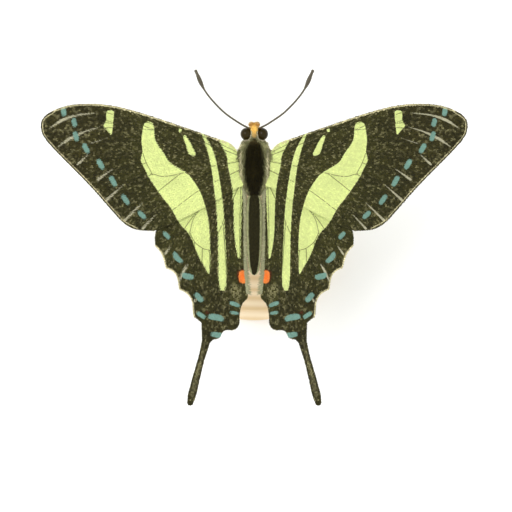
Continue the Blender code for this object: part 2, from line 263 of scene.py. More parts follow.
def joined(shapes: Sequence[Shape]) -> Shape:
    """Put several shapes together.

    Args:
        shapes: The shapes.

    Returns:
        One shape of them all.
    """
    starts = np.cumsum([0] + [len(shape.points) for shape in shapes])
    faces = [rows + start for shape, start in zip(shapes, starts) for rows in shape.faces]
    return Shape(np.vstack([shape.points for shape in shapes]), faces)


def read_shape(mesh: bpy.types.Mesh) -> tuple[Shape, Array]:
    """Read a mesh made in mm back as triangles.

    Args:
        mesh: The mesh, one unit to the millimetre.

    Returns:
        The shape, and the normal at each point.
    """
    points, normals = np.zeros((2, len(mesh.vertices) * 3))
    mesh.vertices.foreach_get("co", points)
    mesh.vertices.foreach_get("normal", normals)
    mesh.calc_loop_triangles()
    corners = np.zeros(len(mesh.loop_triangles) * 3, dtype=np.int32)
    mesh.loop_triangles.foreach_get("vertices", corners)
    return Shape(points.reshape(-1, 3), [corners.reshape(-1, 3)]), normals.reshape(-1, 3)


def add_object(name: str, data: bpy.types.ID | None) -> bpy.types.Object:
    """Put a new object in the scene.

    Args:
        name: The object's name.
        data: What it shows.

    Returns:
        The object.
    """
    obj = bpy.data.objects.new(name, data)
    bpy.context.scene.collection.objects.link(obj)
    return obj


def place_piece(
        name: str, shape: Shape, finishes: Sequence[Material],
        stands_for: Sequence[str] = (), crease: float | None = 40.0, fields: Fields | None = None,
        numbers: Array | None = None) -> bpy.types.Mesh:
    """Put a finished shape in the scene under the root body and hide the CAD parts that it replaces.

    Args:
        name: The piece's name.
        shape: Its shape, in mm from the wing joint.
        finishes: Its materials.
        stands_for: CAD nodes that the piece replaces.
        crease: The angle in degrees over which an edge stays sharp, or None for flat faces.
        fields: A value for each point, under the name that the finish reads.
        numbers: Which of its materials each face has.

    Returns:
        The piece's mesh.
    """
    mesh = Shape(shape.points + JOINT, shape.faces).to_mesh(name, MM)
    for key, values in (fields or {}).items():
        attribute = mesh.attributes.new(key, "FLOAT", "POINT")
        attribute.data.foreach_set("value", values.astype(np.float32))
    if numbers is not None:
        mesh.polygons.foreach_set("material_index", numbers.astype(np.int32))
    for finish in finishes:
        mesh.materials.append(finish)
    if crease is not None:
        mesh.shade_smooth()
        mesh.set_sharp_from_angle(angle=math.radians(crease))
    obj = add_object(name, mesh)
    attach(obj, "root")
    if stands_for:
        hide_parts(*stands_for)
    LOG.info("%s: %d faces", name, len(mesh.polygons))
    return mesh


def loft(rings: Array) -> Shape:
    """Skin a row of rings and close both ends with a fan.

    Args:
        rings: The rings' points (rings, sides, 3).

    Returns:
        The closed shape.
    """
    count, sides, _ = rings.shape
    points = rings.reshape(-1, 3)
    ring, spoke = np.meshgrid(np.arange(count - 1), np.arange(sides), indexing="ij")
    near = (ring * sides + spoke).ravel()
    ahead = (ring * sides + (spoke + 1) % sides).ravel()
    quads = np.column_stack((near, ahead, ahead + sides, near + sides))
    ends = np.vstack((rings[0].mean(axis=0), rings[-1].mean(axis=0)))
    here = np.arange(sides)
    following = (here + 1) % sides
    final = sides * (count - 1)  # the last ring's first corner
    first = np.column_stack((following, here, np.full(sides, len(points))))
    last = np.column_stack((final + here, final + following, np.full(sides, len(points) + 1)))
    return Shape(np.vstack((points, ends)), [quads, first, last])


def outward(shape: Shape) -> Shape:
    """Turn a closed shape's faces outwards.

    Args:
        shape: The shape, its faces all turned one way.

    Returns:
        The same solid, facing outwards.
    """
    volume = 0.0
    for rows in shape.faces:
        for k in range(1, rows.shape[1] - 1):
            a, b, c = (shape.points[rows[:, j]] for j in (0, k, k + 1))
            volume += float((np.cross(a, b) * c).sum())
    if volume >= 0:
        return shape
    return Shape(shape.points, [rows[:, ::-1] for rows in shape.faces])


def tube(path: Array, radii: Array, sides: int = 16, flat: float = 1.0) -> Shape:
    """Run a round-ended tube along a path.

    Args:
        path: Points of the centre line (n, 3).
        radii: The radius at each point.
        sides: Points in each ring.
        flat: The tube's height as a share of its width.

    Returns:
        The closed tube.
    """
    tangents = unit(np.gradient(path, axis=0))
    normal = np.array((0.0, 0.0, 1.0) if abs(tangents[0, 2]) < 0.9 else (0.0, 1.0, 0.0))
    normals = []
    for tangent in tangents:
        normal = unit(normal - tangent * (normal @ tangent))
        normals.append(normal)
    up = np.array(normals)[:, None] * flat
    across = np.cross(tangents, normals)[:, None]
    angles = 2 * math.pi * np.arange(sides) / sides
    circle = across * np.cos(angles)[:, None] + up * np.sin(angles)[:, None]
    rings = path[:, None] + circle * radii[:, None, None]
    share = np.array((0.35, 0.7, 0.92))[:, None, None]  # how far along each end's rings lie
    ends = [path[k] + radii[k] * (way * 0.8 * share * tangents[k] + np.sqrt(1 - share ** 2) * circle[k])
            for k, way in ((0, -1.0), (-1, 1.0))]
    rings = np.concatenate((ends[0][::-1], rings, ends[1]))
    return outward(loft(rings))


def ellipsoid(
        centre: Sequence[float], radii: Sequence[float], rings: int = 24, sides: int = 32) -> Shape:
    """Make a closed ellipsoid.

    Args:
        centre: Its centre.
        radii: Its three radii.
        rings: Rings from pole to pole.
        sides: Points in each ring.

    Returns:
        The ellipsoid.
    """
    lat = np.linspace(0.02, math.pi - 0.02, rings)
    lon = 2 * math.pi * np.arange(sides) / sides
    out, up = np.sin(lat)[:, None], np.cos(lat)[:, None]
    ball = np.stack(np.broadcast_arrays(out * np.cos(lon), out * np.sin(lon), up), axis=-1)
    return outward(loft(ball * radii + centre))


def turned(profile: Sequence[Pair], sides: int, y: float) -> Shape:
    """Turn a closed profile about a vertical axis.

    Args:
        profile: Radius and height over the stand's underside of each corner.
        sides: Points in each ring.
        y: How far the axis stands ahead of the wing joint.

    Returns:
        The solid; the profile's first and last corners are closed with flat caps.
    """
    radii, heights = np.array(profile).T[..., None]
    angles = 2 * math.pi * np.arange(sides) / sides
    rings = np.broadcast_arrays(
        radii * np.cos(angles), y + radii * np.sin(angles), heights - JOINT[2])
    return outward(loft(np.stack(rings, axis=-1)))


# ---- Tufts and scales ----
@dataclass(frozen=True)
class Lock:
    """The shape that is laid down many times in a coat.

    Each point has its place along the lock and across it, how far it rises with the
    lock's lift, and how far it stands off its underside, in widths.
    """

    points: tuple[tuple[float, float, float, float], ...]
    faces: tuple[tuple[int, ...], ...]


SHIELD = Lock(  # a flat scale: narrow stalk, broad blunt end, slightly domed
    points=((0.0, -0.2, 0.0, 0.0), (0.5, -0.5, 0.45, 0.0), (0.94, -0.3, 1.0, 0.0),
            (0.94, 0.3, 1.0, 0.0), (0.5, 0.5, 0.45, 0.0), (0.0, 0.2, 0.0, 0.0),
            (0.55, 0.0, 0.55, 0.16)),
    faces=((0, 6, 5), (5, 6, 4), (4, 6, 3), (3, 6, 2), (2, 6, 1), (1, 6, 0),
           (0, 5, 4), (0, 4, 1), (1, 4, 3), (1, 3, 2)))
WISP = Lock(  # a tapering lock of hair with three sides, bent along the body
    points=((0.0, -0.5, 0.0, 0.0), (0.0, 0.5, 0.0, 0.0), (0.0, 0.0, 0.0, 0.7),
            (0.5, -0.4, 0.62, 0.0), (0.5, 0.4, 0.62, 0.0), (0.5, 0.0, 0.62, 0.6),
            (1.0, 0.0, 1.0, 0.1)),
    faces=((0, 1, 4), (0, 4, 3), (1, 2, 5), (1, 5, 4), (2, 0, 3), (2, 3, 5),
           (3, 4, 6), (4, 5, 6), (5, 3, 6), (0, 2, 1)))


@dataclass
class Coat:
    """Many locks of one shape laid over a surface.

    Every array has one row or value to a lock; a field may have one to each of its points.
    """

    lock: Lock
    roots: Array
    along: Array
    up: Array
    length: Array
    width: Array
    lift: Array
    fields: Fields
    patches: Array  # each root's place on the unwrapped surface, 0 to 1
    patch_size: float = 0.003

    def build(self, name: str, slot: Slot, finish: Material) -> None:
        """Make the coat as one joined mesh.

        Args:
            name: The piece's name.
            slot: The record's material slot; not used.
            finish: The coat's material.
        """
        form = np.array(self.lock.points)
        count, size = len(self.roots), len(form)
        up = unit(self.up)
        along = unit(self.along - up * (self.along * up).sum(axis=1, keepdims=True))
        across = np.cross(up, along)
        reach = form[None, :, 0] * self.length[:, None]
        aside = form[None, :, 1] * self.width[:, None]
        rise = form[None, :, 2] * self.lift[:, None] + form[None, :, 3] * self.width[:, None]
        points = (self.roots[:, None] + reach[..., None] * along[:, None]
                  + aside[..., None] * across[:, None] + rise[..., None] * up[:, None])
        corners = np.array(self.lock.faces)
        faces = corners[None] + (np.arange(count) * size)[:, None, None]
        fields = {
            key: np.repeat(value, count * size // value.size) for key, value in self.fields.items()}
        shape = Shape(points.reshape(-1, 3), [faces.reshape(-1, 3)])
        mesh = place_piece(name, shape, (finish,), crease=None, fields=fields)
        spread = np.clip(self.patches, 0.01, 0.99)[:, None] + (
            form[None, :, :2] - (0.5, 0.0)) * self.patch_size
        layer = mesh.uv_layers.new(name="OFBake")
        corner_uv = spread[:, corners.ravel()].reshape(-1, 2)
        layer.data.foreach_set("uv", corner_uv.astype(np.float32).ravel())


# ---- Finishes ----
def linear(colour: str) -> tuple[float, float, float, float]:
    """Turn an sRGB hex colour to the linear colour that a shader takes.

    Args:
        colour: Six hex digits after a hash.

    Returns:
        Red, green, blue and full opacity.
    """
    values = [int(colour[i:i + 2], 16) / 255 for i in (1, 3, 5)]
    return (*(v / 12.92 if v <= 0.04045 else ((v + 0.055) / 1.055) ** 2.4 for v in values), 1.0)


def add_node(tree: Tree, kind: str, settings: dict | None = None,
             links: dict | None = None) -> bpy.types.Node:
    """Add a node with its settings and links.

    Args:
        tree: The tree that the node joins.
        kind: The node's type, as it is named after ShaderNode.
        settings: Properties by their Python name, and inputs by name or number.
        links: Output sockets by the name or number of the input that they feed.

    Returns:
        The node.
    """
    node = tree.nodes.new("ShaderNode" + kind)
    for key, value in (settings or {}).items():
        if isinstance(key, str) and hasattr(node, key):
            setattr(node, key, value)
        else:
            node.inputs[key].default_value = value
    for key, source in (links or {}).items():
        tree.links.new(source, node.inputs[key])
    return node


def start_material(name: str) -> tuple[Material, Tree, Socket]:
    """Start a material.

    Args:
        name: Its name.

    Returns:
        The material, its tree, and the socket that gives a place on the object in m.
    """
    material = bpy.data.materials.new(name)
    material.use_nodes = True
    tree = material.node_tree
    tree.nodes.clear()
    return material, tree, add_node(tree, "TexCoord").outputs["Object"]


def end_material(tree: Tree, relief: dict, height: Socket, settings: dict, links: dict) -> None:
    """End a material's tree in a shader with a fine relief.

    Args:
        tree: The material's tree.
        relief: The bump's settings.
        height: What raises the relief.
        settings: The shader's settings.
        links: What else feeds the shader.
    """
    bump = add_node(tree, "Bump", relief, {"Height": height})
    shader = add_node(tree, "BsdfPrincipled", settings, {**links, "Normal": bump.outputs["Normal"]})
    add_node(tree, "OutputMaterial", {}, {"Surface": shader.outputs["BSDF"]})


@dataclass(frozen=True)
class Marking:
    """A colour laid over those before it where a field is high enough."""

    field: str
    colour: str
    low: float  # field value where the colour starts
    high: float  # field value where it covers
    strength: float = 1.0

    def over(self, tree: Tree, under: Socket) -> Socket:
        """Lay the marking over a colour.

        Args:
            tree: The material's tree.
            under: The colour so far.

        Returns:
            The colour with the marking on it.
        """
        value = add_node(tree, "Attribute", {"attribute_name": self.field})
        amount = add_node(
            tree, "MapRange",
            {"interpolation_type": "SMOOTHSTEP", "From Min": self.low, "From Max": self.high,
             "To Max": self.strength}, {"Value": value.outputs["Fac"]})
        mix = add_node(tree, "Mix", {"data_type": "RGBA", 7: linear(self.colour)},
                       {0: amount.outputs["Result"], 6: under})
        return mix.outputs[2]


@dataclass(frozen=True)
class ScaleCover:
    """Chitin scales laid like roof tiles over a wing or body.

    Grown, not coated: each scale is one colour, matt with a faint satin along its ridges,
    so the markings are a mosaic and their edges are slightly ragged.
    """

    name: str
    ground: str
    ground_dark: str
    markings: tuple[Marking, ...]
    roughness: float = 0.66
    gloss: float = 0.05
    sheen: float = 0.03
    grain_mm: float = 0.3  # scale ridges are 0.002 mm apart, drawn as coarse as shows

    def build(self) -> Material:
        """Make the material.

        Returns:
            The material.
        """
        material, tree, place = start_material(self.name)
        mottle = add_node(
            tree, "TexNoise", {"Scale": 1 / (2.2 * MM), "Detail": 3.0, "Roughness": 0.6},
            {"Vector": place})
        colour = add_node(
            tree, "Mix", {"data_type": "RGBA", 6: linear(self.ground), 7: linear(self.ground_dark)},
            {0: mottle.outputs["Fac"]}).outputs[2]
        for marking in self.markings:
            colour = marking.over(tree, colour)
        shade = add_node(tree, "Attribute", {"attribute_name": "shade"})
        toned = add_node(tree, "HueSaturation", {}, {"Color": colour, "Value": shade.outputs["Fac"]})
        ridges = add_node(
            tree, "TexNoise", {"Scale": 1 / (self.grain_mm * MM), "Detail": 2.0}, {"Vector": place})
        end_material(
            tree, {"Strength": 0.25, "Distance": 0.00003}, ridges.outputs["Fac"],
            {"Roughness": self.roughness, "IOR": 1.55, "Specular IOR Level": self.gloss,
             "Sheen Weight": self.sheen, "Sheen Roughness": 0.5},
            {"Base Color": toned.outputs["Color"]})
        return material


@dataclass(frozen=True)
class CompoundEye:
    """The cornea of a compound eye: thousands of tiny glossy lenses over dark pigment.

    To the eye it is a near-black brown bead with one soft highlight, faintly pebbled.
    """

    name: str = "compound_eye_cornea"
    deep: str = "#161201"
    warm: str = "#312604"
    lens_mm: float = 0.07  # real lenses are 0.02 mm across, drawn larger so that they show

    def build(self) -> Material:
        """Make the material.

        Returns:
            The material.
        """
        material, tree, place = start_material(self.name)
        lenses = add_node(
            tree, "TexVoronoi",
            {"feature": "SMOOTH_F1", "Scale": 1 / (self.lens_mm * MM), "Smoothness": 0.4},
            {"Vector": place})
        tint = add_node(tree, "TexNoise", {"Scale": 1 / (0.9 * MM), "Detail": 2.0}, {"Vector": place})
        colour = add_node(
            tree, "Mix", {"data_type": "RGBA", 6: linear(self.deep), 7: linear(self.warm)},
            {0: tint.outputs["Fac"]})
        end_material(
            tree, {"Strength": 0.35, "Distance": 0.00001, "invert": True}, lenses.outputs["Distance"],
            {"Roughness": 0.16, "IOR": 1.5, "Specular IOR Level": 0.12},
            {"Base Color": colour.outputs[2]})
        return material


@dataclass(frozen=True)
class Cuticle:
    """Hardened chitin, the bare horn of legs, feelers and tongue.

    Grown in rings: dark brown, satin, with a slightly paler cast where it is thin.
    """

    name: str = "hardened_chitin"
    dark: str = "#2a2412"
    pale: str = "#4c4226"
    roughness: float = 0.42

    def build(self) -> Material:
        """Make the material.

        Returns:
            The material.
        """
        material, tree, place = start_material(self.name)
        cast = add_node(
            tree, "TexNoise", {"Scale": 1 / (0.6 * MM), "Detail": 4.0, "Roughness": 0.6},
            {"Vector": place})
        colour = add_node(
            tree, "Mix", {"data_type": "RGBA", 6: linear(self.dark), 7: linear(self.pale)},
            {0: cast.outputs["Fac"]})
        end_material(tree, {"Strength": 0.4, "Distance": 0.00002}, cast.outputs["Fac"],
                     {"Roughness": self.roughness, "IOR": 1.56}, {"Base Color": colour.outputs[2]})
        return material


WAVE_TURN = 2 * math.pi / 20  # a wave texture's period at scale 1


@dataclass(frozen=True)
class OiledMaple:
    """Maple, turned on a lathe, sanded and oiled.

    Pale honey wood with faint growth bands about 2 mm apart and short dark pores, satin.
    """

    name: str = "oiled_maple"
    early: str = "#ead6b4"
    late: str = "#d8bc8e"
    ring_mm: float = 2.2
    pore_mm: float = 0.35

    def build(self) -> Material:
        """Make the material.

        Returns:
            The material.
        """
        material, tree, place = start_material(self.name)
        drawn = add_node(tree, "Mapping", {"Scale": (0.12, 1.0, 1.0)}, {"Vector": place})
        bands = add_node(
            tree, "TexWave",
            {"wave_type": "BANDS", "bands_direction": "Y", "Scale": WAVE_TURN / (self.ring_mm * MM),
             "Distortion": 11.0, "Detail": 3.0, "Detail Scale": 0.4},
            {"Vector": drawn.outputs["Vector"]})
        pores = add_node(
            tree, "TexNoise", {"Scale": 1 / (self.pore_mm * MM), "Detail": 3.0, "Roughness": 0.65},
            {"Vector": drawn.outputs["Vector"]})
        wood = add_node(
            tree, "Mix", {"data_type": "RGBA", 6: linear(self.early), 7: linear(self.late)},
            {0: bands.outputs["Fac"]})
        fleck = add_node(
            tree, "MapRange", {"From Min": 0.6, "From Max": 0.8, "To Max": 0.35},
            {"Value": pores.outputs["Fac"]})
        colour = add_node(
            tree, "Mix", {"data_type": "RGBA", 7: linear("#bd9c6c")},
            {0: fleck.outputs["Result"], 6: wood.outputs[2]})
        end_material(
            tree, {"Strength": 0.2, "Distance": 0.00004}, pores.outputs["Fac"],
            {"Roughness": 0.45, "IOR": 1.5, "Coat Weight": 0.15, "Coat Roughness": 0.3},
            {"Base Color": colour.outputs[2]})
        return material


@dataclass(frozen=True)
class DrawnMetal:
    """Metal bar, drawn or turned and left bright, with fine scratches round or along it."""

    name: str
    colour: str
    roughness: float
    scratch_mm: float  # real scratches are 0.01 mm apart, drawn as coarse as shows
    stretch: Triple  # small where the scratches run long

    def build(self) -> Material:
        """Make the material.

        Returns:
            The material.
        """
        material, tree, place = start_material(self.name)
        drawn = add_node(tree, "Mapping", {"Scale": self.stretch}, {"Vector": place})
        scratches = add_node(
            tree, "TexNoise", {"Scale": 1 / (self.scratch_mm * MM), "Detail": 3.0},
            {"Vector": drawn.outputs["Vector"]})
        gloss = add_node(
            tree, "MapRange", {"To Min": self.roughness - 0.08, "To Max": self.roughness + 0.1},
            {"Value": scratches.outputs["Fac"]})
        end_material(
            tree, {"Strength": 0.15, "Distance": 0.00001}, scratches.outputs["Fac"],
            {"Base Color": linear(self.colour), "Metallic": 1.0},
            {"Roughness": gloss.outputs["Result"]})
        return material


# Each wing colour is a scale pigment: olive-brown melanin ground, pale green papiliochrome,
# grey-blue scattering scales and orange-red at the hind corner.
WING_MARKINGS = (
    Marking("outer", "#2f2c11", 0.0, 1.0),
    Marking("tail", "#5a553a", 0.0, 1.0, 0.8),
    Marking("speck", "#88835c", 0.0, 1.0, 0.58),
    Marking("streak", "#bcb89a", -0.05, 0.1, 0.9),
    Marking("green", "#dae595", -0.05, 0.05),
    Marking("halo", "#4a1808", 0.0, 1.0, 0.85),
    Marking("blue", "#769c8e", -0.06, 0.08),
    Marking("orange", "#f38a40", -0.06, 0.08),
    Marking("orange", "#ff8334", 0.2, 0.6),
    Marking("rim", "#c8c095", 0.0, 1.0, 0.95),
    Marking("costa", "#c4bc90", 0.0, 1.0, 0.95),
    Marking("vein", "#6d7440", 0.0, 1.0, 0.85),
    Marking("wool", "#9a9a78", 0.0, 1.0),
)
UPPER_SCALES = ScaleCover("wing_scales_above", "#3b3a19", "#2f2e12", WING_MARKINGS)
UNDER_SCALES = ScaleCover("wing_scales_below", "#5d5334", "#4c4427", WING_MARKINGS)
BODY_HAIR = ScaleCover(
    "body_hair_scales", "#8f8b66", "#7c7e54",
    (Marking("belly", "#b9bd88", 0.0, 1.0),
     Marking("flank", "#d2caa4", 0.0, 1.0, 0.9),
     Marking("dorsal", "#1c1806", -0.3, 0.42),
     Marking("dusk", "#4a4024", 0.0, 1.0, 0.6),
     Marking("orbit", "#dcd3b2", 0.0, 1.0),
     Marking("amber", "#dcb871", -0.12, 0.1),
     Marking("cap", "#c79a42", 0.0, 1.0, 0.85),
     Marking("glow", "#f9d06e", 0.0, 1.0),
     Marking("blush", "#c98a5a", 0.0, 1.0, 0.35),
     Marking("brim", "#ded3b2", 0.0, 1.0, 0.9)),
    roughness=0.8, gloss=0.03, sheen=0.015)
ABDOMEN_SCALES = ScaleCover(
    "abdomen_scales", "#2f2c16", "#24220f",
    (Marking("pale", "#a9ab7e", -0.1, 0.1), Marking("line", "#35321a", -0.08, 0.08)),
    roughness=0.7, gloss=0.04, sheen=0.015)
LEG_SCALES = ScaleCover(
    "leg_scales", "#3d3622", "#2a2414", (Marking("pale", "#b3a982", 0.1, 0.5, 0.9),), gloss=0.04)


# ---- Body form ----
@dataclass(frozen=True)
class BodyForm:
    """Cross-sections of the body: y, centre height, half width and half height, mm."""

    head: tuple = (
        (7.7, -0.8, 0.65, 0.75), (7.4, -0.65, 1.0, 1.2), (6.9, -0.55, 1.0, 1.45),
        (6.3, -0.5, 0.95, 1.5), (5.7, -0.55, 1.15, 1.45), (5.25, -0.65, 1.3, 1.3))
    neck: tuple = ((4.85, -0.68, 2.05, 1.5), (4.6, -0.7, 2.45, 1.85), (4.3, -0.72, 2.6, 1.95))
    thorax: tuple = (
        (4.16, -0.75, 2.7, 2.1), (3.4, -0.78, 3.05, 2.5), (2.2, -0.8, 3.25, 2.85),
        (0.2, -0.82, 3.35, 2.98), (-1.5, -0.85, 3.25, 2.9), (-3.0, -0.9, 2.75, 2.45),
        (-4.5, -1.0, 2.05, 1.85), (-5.2, -1.1, 1.45, 1.35))
    abdomen: tuple = (
        (-5.45, -1.1, 1.0, 1.1), (-6.2, -1.1, 1.3, 1.4), (-8.5, -1.15, 1.5, 1.65),
        (-12.0, -1.3, 1.52, 1.65), (-15.5, -1.5, 1.42, 1.5), (-18.3, -1.7, 1.15, 1.2),
        (-20.0, -1.8, 0.8, 0.85), (-20.7, -1.85, 0.3, 0.35))
    head_coat: float = 0.16  # depth of hair taken off the solid to reach the skin
    neck_coat: float = 0.3
    thorax_coat: float = 0.34
    abdomen_coat: float = 0.07
    roundness: float = 2.35
    eye_centre: Triple = (1.56, 6.22, -0.3)
    eye_radii: Triple = (1.09, 1.18, 1.33)
    segments: int = 8
    groove: float = 0.05

    def skin_rows(self) -> Array:
        """Take the coat's depth off the solid.

        Returns:
            The skin's cross-sections from head to tail.
        """
        parts = ((self.head, self.head_coat), (self.neck, self.neck_coat),
                 (self.thorax, self.thorax_coat), (self.abdomen, self.abdomen_coat))
        return np.vstack([np.array(rows) - (0.0, 0.0, coat, coat) for rows, coat in parts])

    def section(self, y: Array) -> tuple[Array, Array, Array]:
        """Read the skin's centre height, half width and half height at y."""
        rows = self.skin_rows()[::-1]
        return tuple(np.interp(y, rows[:, 0], rows[:, k]) for k in (1, 2, 3))

    def thorax_at(self, y: float) -> list[float]:
        """Return the solid thorax's centre height, half width and half height at y."""
        rows = np.array(self.thorax)[::-1]
        return [float(np.interp(y, rows[:, 0], rows[:, k])) for k in (1, 2, 3)]

    def rounded(self, share: float) -> float:
        """Return what a section keeps of one half axis at a share of the other."""
        return (1 - min(abs(share), 0.99) ** self.roundness) ** (1 / self.roundness)

    def thorax_side(self, y: float, z: float) -> float:
        """Return the solid thorax's half width at y and height z."""
        centre, width, height = self.thorax_at(y)
        return width * self.rounded((z - centre) / height)

    def thorax_underside(self, x: float, y: float) -> float:
        """Return the height of the solid thorax's underside at x, y."""
        centre, width, height = self.thorax_at(y)
        return centre - height * self.rounded(x / width)


BODY = BodyForm()


# ---- Wing markings ----
@dataclass(frozen=True)
class Patch:
    """A marking with a closed outline, rounded through its corners."""

    corners: Line

    def reach(self, points: Array) -> Array:
        """Return how deep each point lies inside the patch, mm."""
        return outline_reach(smooth_path(self.corners, 4, closed=True), points)


@dataclass(frozen=True)
class Stroke:
    """A marking drawn along a line: x, y and full width at each of its points."""

    line: Line3

    def reach(self, points: Array) -> Array:
        """Measure how deep points lie inside the stroke.

        Args:
            points: The points (n, 2).

        Returns:
            Their depths, mm.
        """
        path = smooth_path(self.line, 3)
        distance, place = line_offsets(path[:, :2], points)
        return np.interp(place, np.arange(len(path)), path[:, 2]) / 2 - distance


@dataclass(frozen=True)
class Spot:
    """A mark like a rounded bar; `heading` is the way its length lies, in degrees from +X."""

    centre: Pair
    length: float
    width: float
    heading: float
    squareness: float = 3.2  # 2 makes an oval, more a bar
    bend: float = 0.0  # how far the ends curve aside, mm

    def reach(self, points: Array) -> Array:
        """Measure how deep points lie inside the mark.

        Args:
            points: The points (n, 2).

        Returns:
            Their depths, mm.
        """
        turn = math.radians(self.heading)
        offset = points - self.centre
        along = np.abs(offset @ (math.cos(turn), math.sin(turn))) / (self.length / 2)
        aside = offset @ (-math.sin(turn), math.cos(turn)) + self.bend * along ** 2
        aside = np.abs(aside) / (self.width / 2)
        spread = (along ** self.squareness + aside ** self.squareness) ** (1 / self.squareness)
        return (1 - spread) * self.width / 2


def deepest(shapes: Sequence, points: Array) -> Array:
    """Return how deep each point lies in the nearest of several markings."""
    return np.max([shape.reach(points) for shape in shapes], axis=0)


@dataclass(frozen=True)
class WingPattern:
    """The right wings' markings, in mm from the wing joint; x out, y forward."""

    median_outer: Line = (
        (20.8, 8.1), (21.4, 5.1), (21.2, 2.7), (21.55, 1.2), (20.8, -0.5), (19.7, -2.7),
        (17.1, -6.4), (15.9, -7.9), (14.2, -10.9), (12.2, -13.3), (10.8, -16.8), (9.3, -19.5),
        (8.6, -20.6))
    median_inner: Line = (
        (8.5, -19.6), (8.4, -16.2), (8.6, -12.0), (9.0, -9.0), (10.2, -5.1), (11.8, -2.5),
        (13.1, -1.2), (16.0, 0.6), (17.1, 2.3), (18.8, 4.9), (19.2, 7.9))
    apex_bar: Line = (
        (28.0, 10.3), (26.7, 10.35), (26.75, 8.5), (27.05, 6.0), (27.8, 6.7), (28.6, 7.6),
        (28.05, 8.6))
    cell_bar: Line = (
        (13.5, 5.7), (12.85, 5.55), (11.9, 3.9), (11.15, 2.1), (12.4, 2.3), (13.05, 4.1))
    long_stripe: Line3 = (
        (9.9, 6.4, 0.3), (8.9, 4.2, 0.8), (8.1, 2.0, 1.1), (7.5, -0.9, 1.2), (6.9, -5.0, 1.3),
        (6.5, -9.0, 1.35), (6.25, -13.9, 1.35), (6.1, -19.6, 1.5), (6.05, -22.5, 1.4),
        (6.1, -23.3, 0.9))
    basal_outer: Line = (
        (6.6, 5.2), (5.3, 2.2), (5.0, 0.0), (4.3, -3.6), (3.95, -8.0), (3.8, -13.0),
        (3.3, -16.5), (3.0, -17.6))
    basal_inner: Line = (
        (2.7, -17.0), (2.6, -13.0), (2.35, -8.0), (2.2, -4.4), (1.8, 0.0), (2.4, 3.2))
    blue_spots: tuple[Spot, ...] = (
        Spot((36.1, 10.2), 1.6, 0.95, 80), Spot((34.1, 8.2), 1.65, 0.92, 78),
        Spot((33.8, 5.6), 1.9, 0.92, 72), Spot((31.9, 3.3), 2.0, 0.95, 60),
        Spot((29.15, 0.3), 2.1, 0.98, 60), Spot((26.8, -2.9), 2.2, 0.98, 60),
        Spot((24.45, -6.4), 2.2, 0.95, 55), Spot((21.35, -9.3), 1.9, 0.9, 45),
        Spot((16.7, -13.2), 1.7, 0.85, 50), Spot((14.7, -17.5), 2.5, 1.0, 50, bend=-0.25),
        Spot((12.75, -21.0), 2.3, 1.1, 14, bend=-0.15), Spot((10.6, -25.0), 2.1, 1.1, 48),
        Spot((10.2, -28.4), 1.9, 0.85, 35), Spot((7.3, -28.8), 3.0, 1.2, 12, bend=0.2),
        Spot((7.2, -32.2), 2.2, 1.05, 8), Spot((3.8, -26.3), 2.0, 0.8, 20),
        Spot((3.8, -28.0), 1.6, 0.65, 10))
    orange_spot: Spot = Spot((2.25, -21.1), 2.55, 1.5, 84, 2.5)
    halo_spot: Spot = Spot((2.4, -20.95), 3.2, 2.15, 84, 2.4)
    rust_spot: Spot = Spot((9.0, -27.9), 1.3, 0.9, 30, 2.0)
    frost_spot: Spot = Spot((3.6, -24.0), 4.6, 3.0, 70, 2.0)
    streaks: tuple[Line3, ...] = (
        ((29.6, 10.05, 0.12), (33.4, 9.6, 0.34), (36.3, 8.65, 0.56), (38.8, 7.1, 0.15)),
        ((29.1, 7.4, 0.12), (32.0, 6.5, 0.32), (34.8, 5.2, 0.56), (37.2, 3.6, 0.15)),
        ((27.8, 5.3, 0.1), (31.0, 4.2, 0.2)), ((31.5, 2.1, 0.15), (33.4, 0.3, 0.5)),
        ((26.5, -0.4, 0.12), (29.6, -2.6, 0.5)), ((24.8, -3.6, 0.12), (28.0, -6.5, 0.5)),
        ((21.2, -7.0, 0.12), (24.6, -10.3, 0.5)), ((18.8, -9.3, 0.12), (21.2, -11.9, 0.45)),
        ((15.9, -15.2, 0.2), (17.0, -16.8, 0.4)),
        ((12.7, -18.7, 0.2), (13.5, -20.1, 0.5), (14.3, -21.8, 0.2)),
        ((10.9, -24.6, 0.2), (11.4, -25.8, 0.35)),
        ((1.9, -7.0, 0.2), (1.85, -13.0, 0.3), (1.65, -19.5, 0.4), (1.35, -24.2, 0.35)))
    tail_line: Line3 = (
        (9.3, -33.0, 0.5), (10.2, -37.0, 0.8), (11.17, -40.6, 1.1), (11.9, -43.6, 1.2))

    def fields(self, points: Array) -> Fields:
        """Read every marking at some places of a wing.

        Args:
            points: Places on the right wings (n, 2).

        Returns:
            The fields that the wing's finish reads.
        """
        green = (Patch(self.median_outer + self.median_inner), Patch(self.apex_bar),
                 Patch(self.cell_bar), Stroke(self.long_stripe),
                 Patch(self.basal_outer + self.basal_inner), Spot((14.1, 6.8), 0.6, 0.6, 0))
        return {
            "green": deepest(green, points),
            "blue": deepest(self.blue_spots, points),
            "orange": self.orange_spot.reach(points),
            "halo": np.clip(deepest((self.halo_spot, self.rust_spot), points) / 0.4, 0, 1),
            "streak": deepest([Stroke(line) for line in self.streaks], points),
            "tail": np.clip(Stroke(self.tail_line).reach(points) / 0.35, 0, 1),
            "frost": np.clip(self.frost_spot.reach(points) / 0.9, 0, 1),
            "outer": np.clip((np.linalg.norm(points, axis=1) - 20.0) / 14.0, 0, 1),
        }


PATTERN = WingPattern()


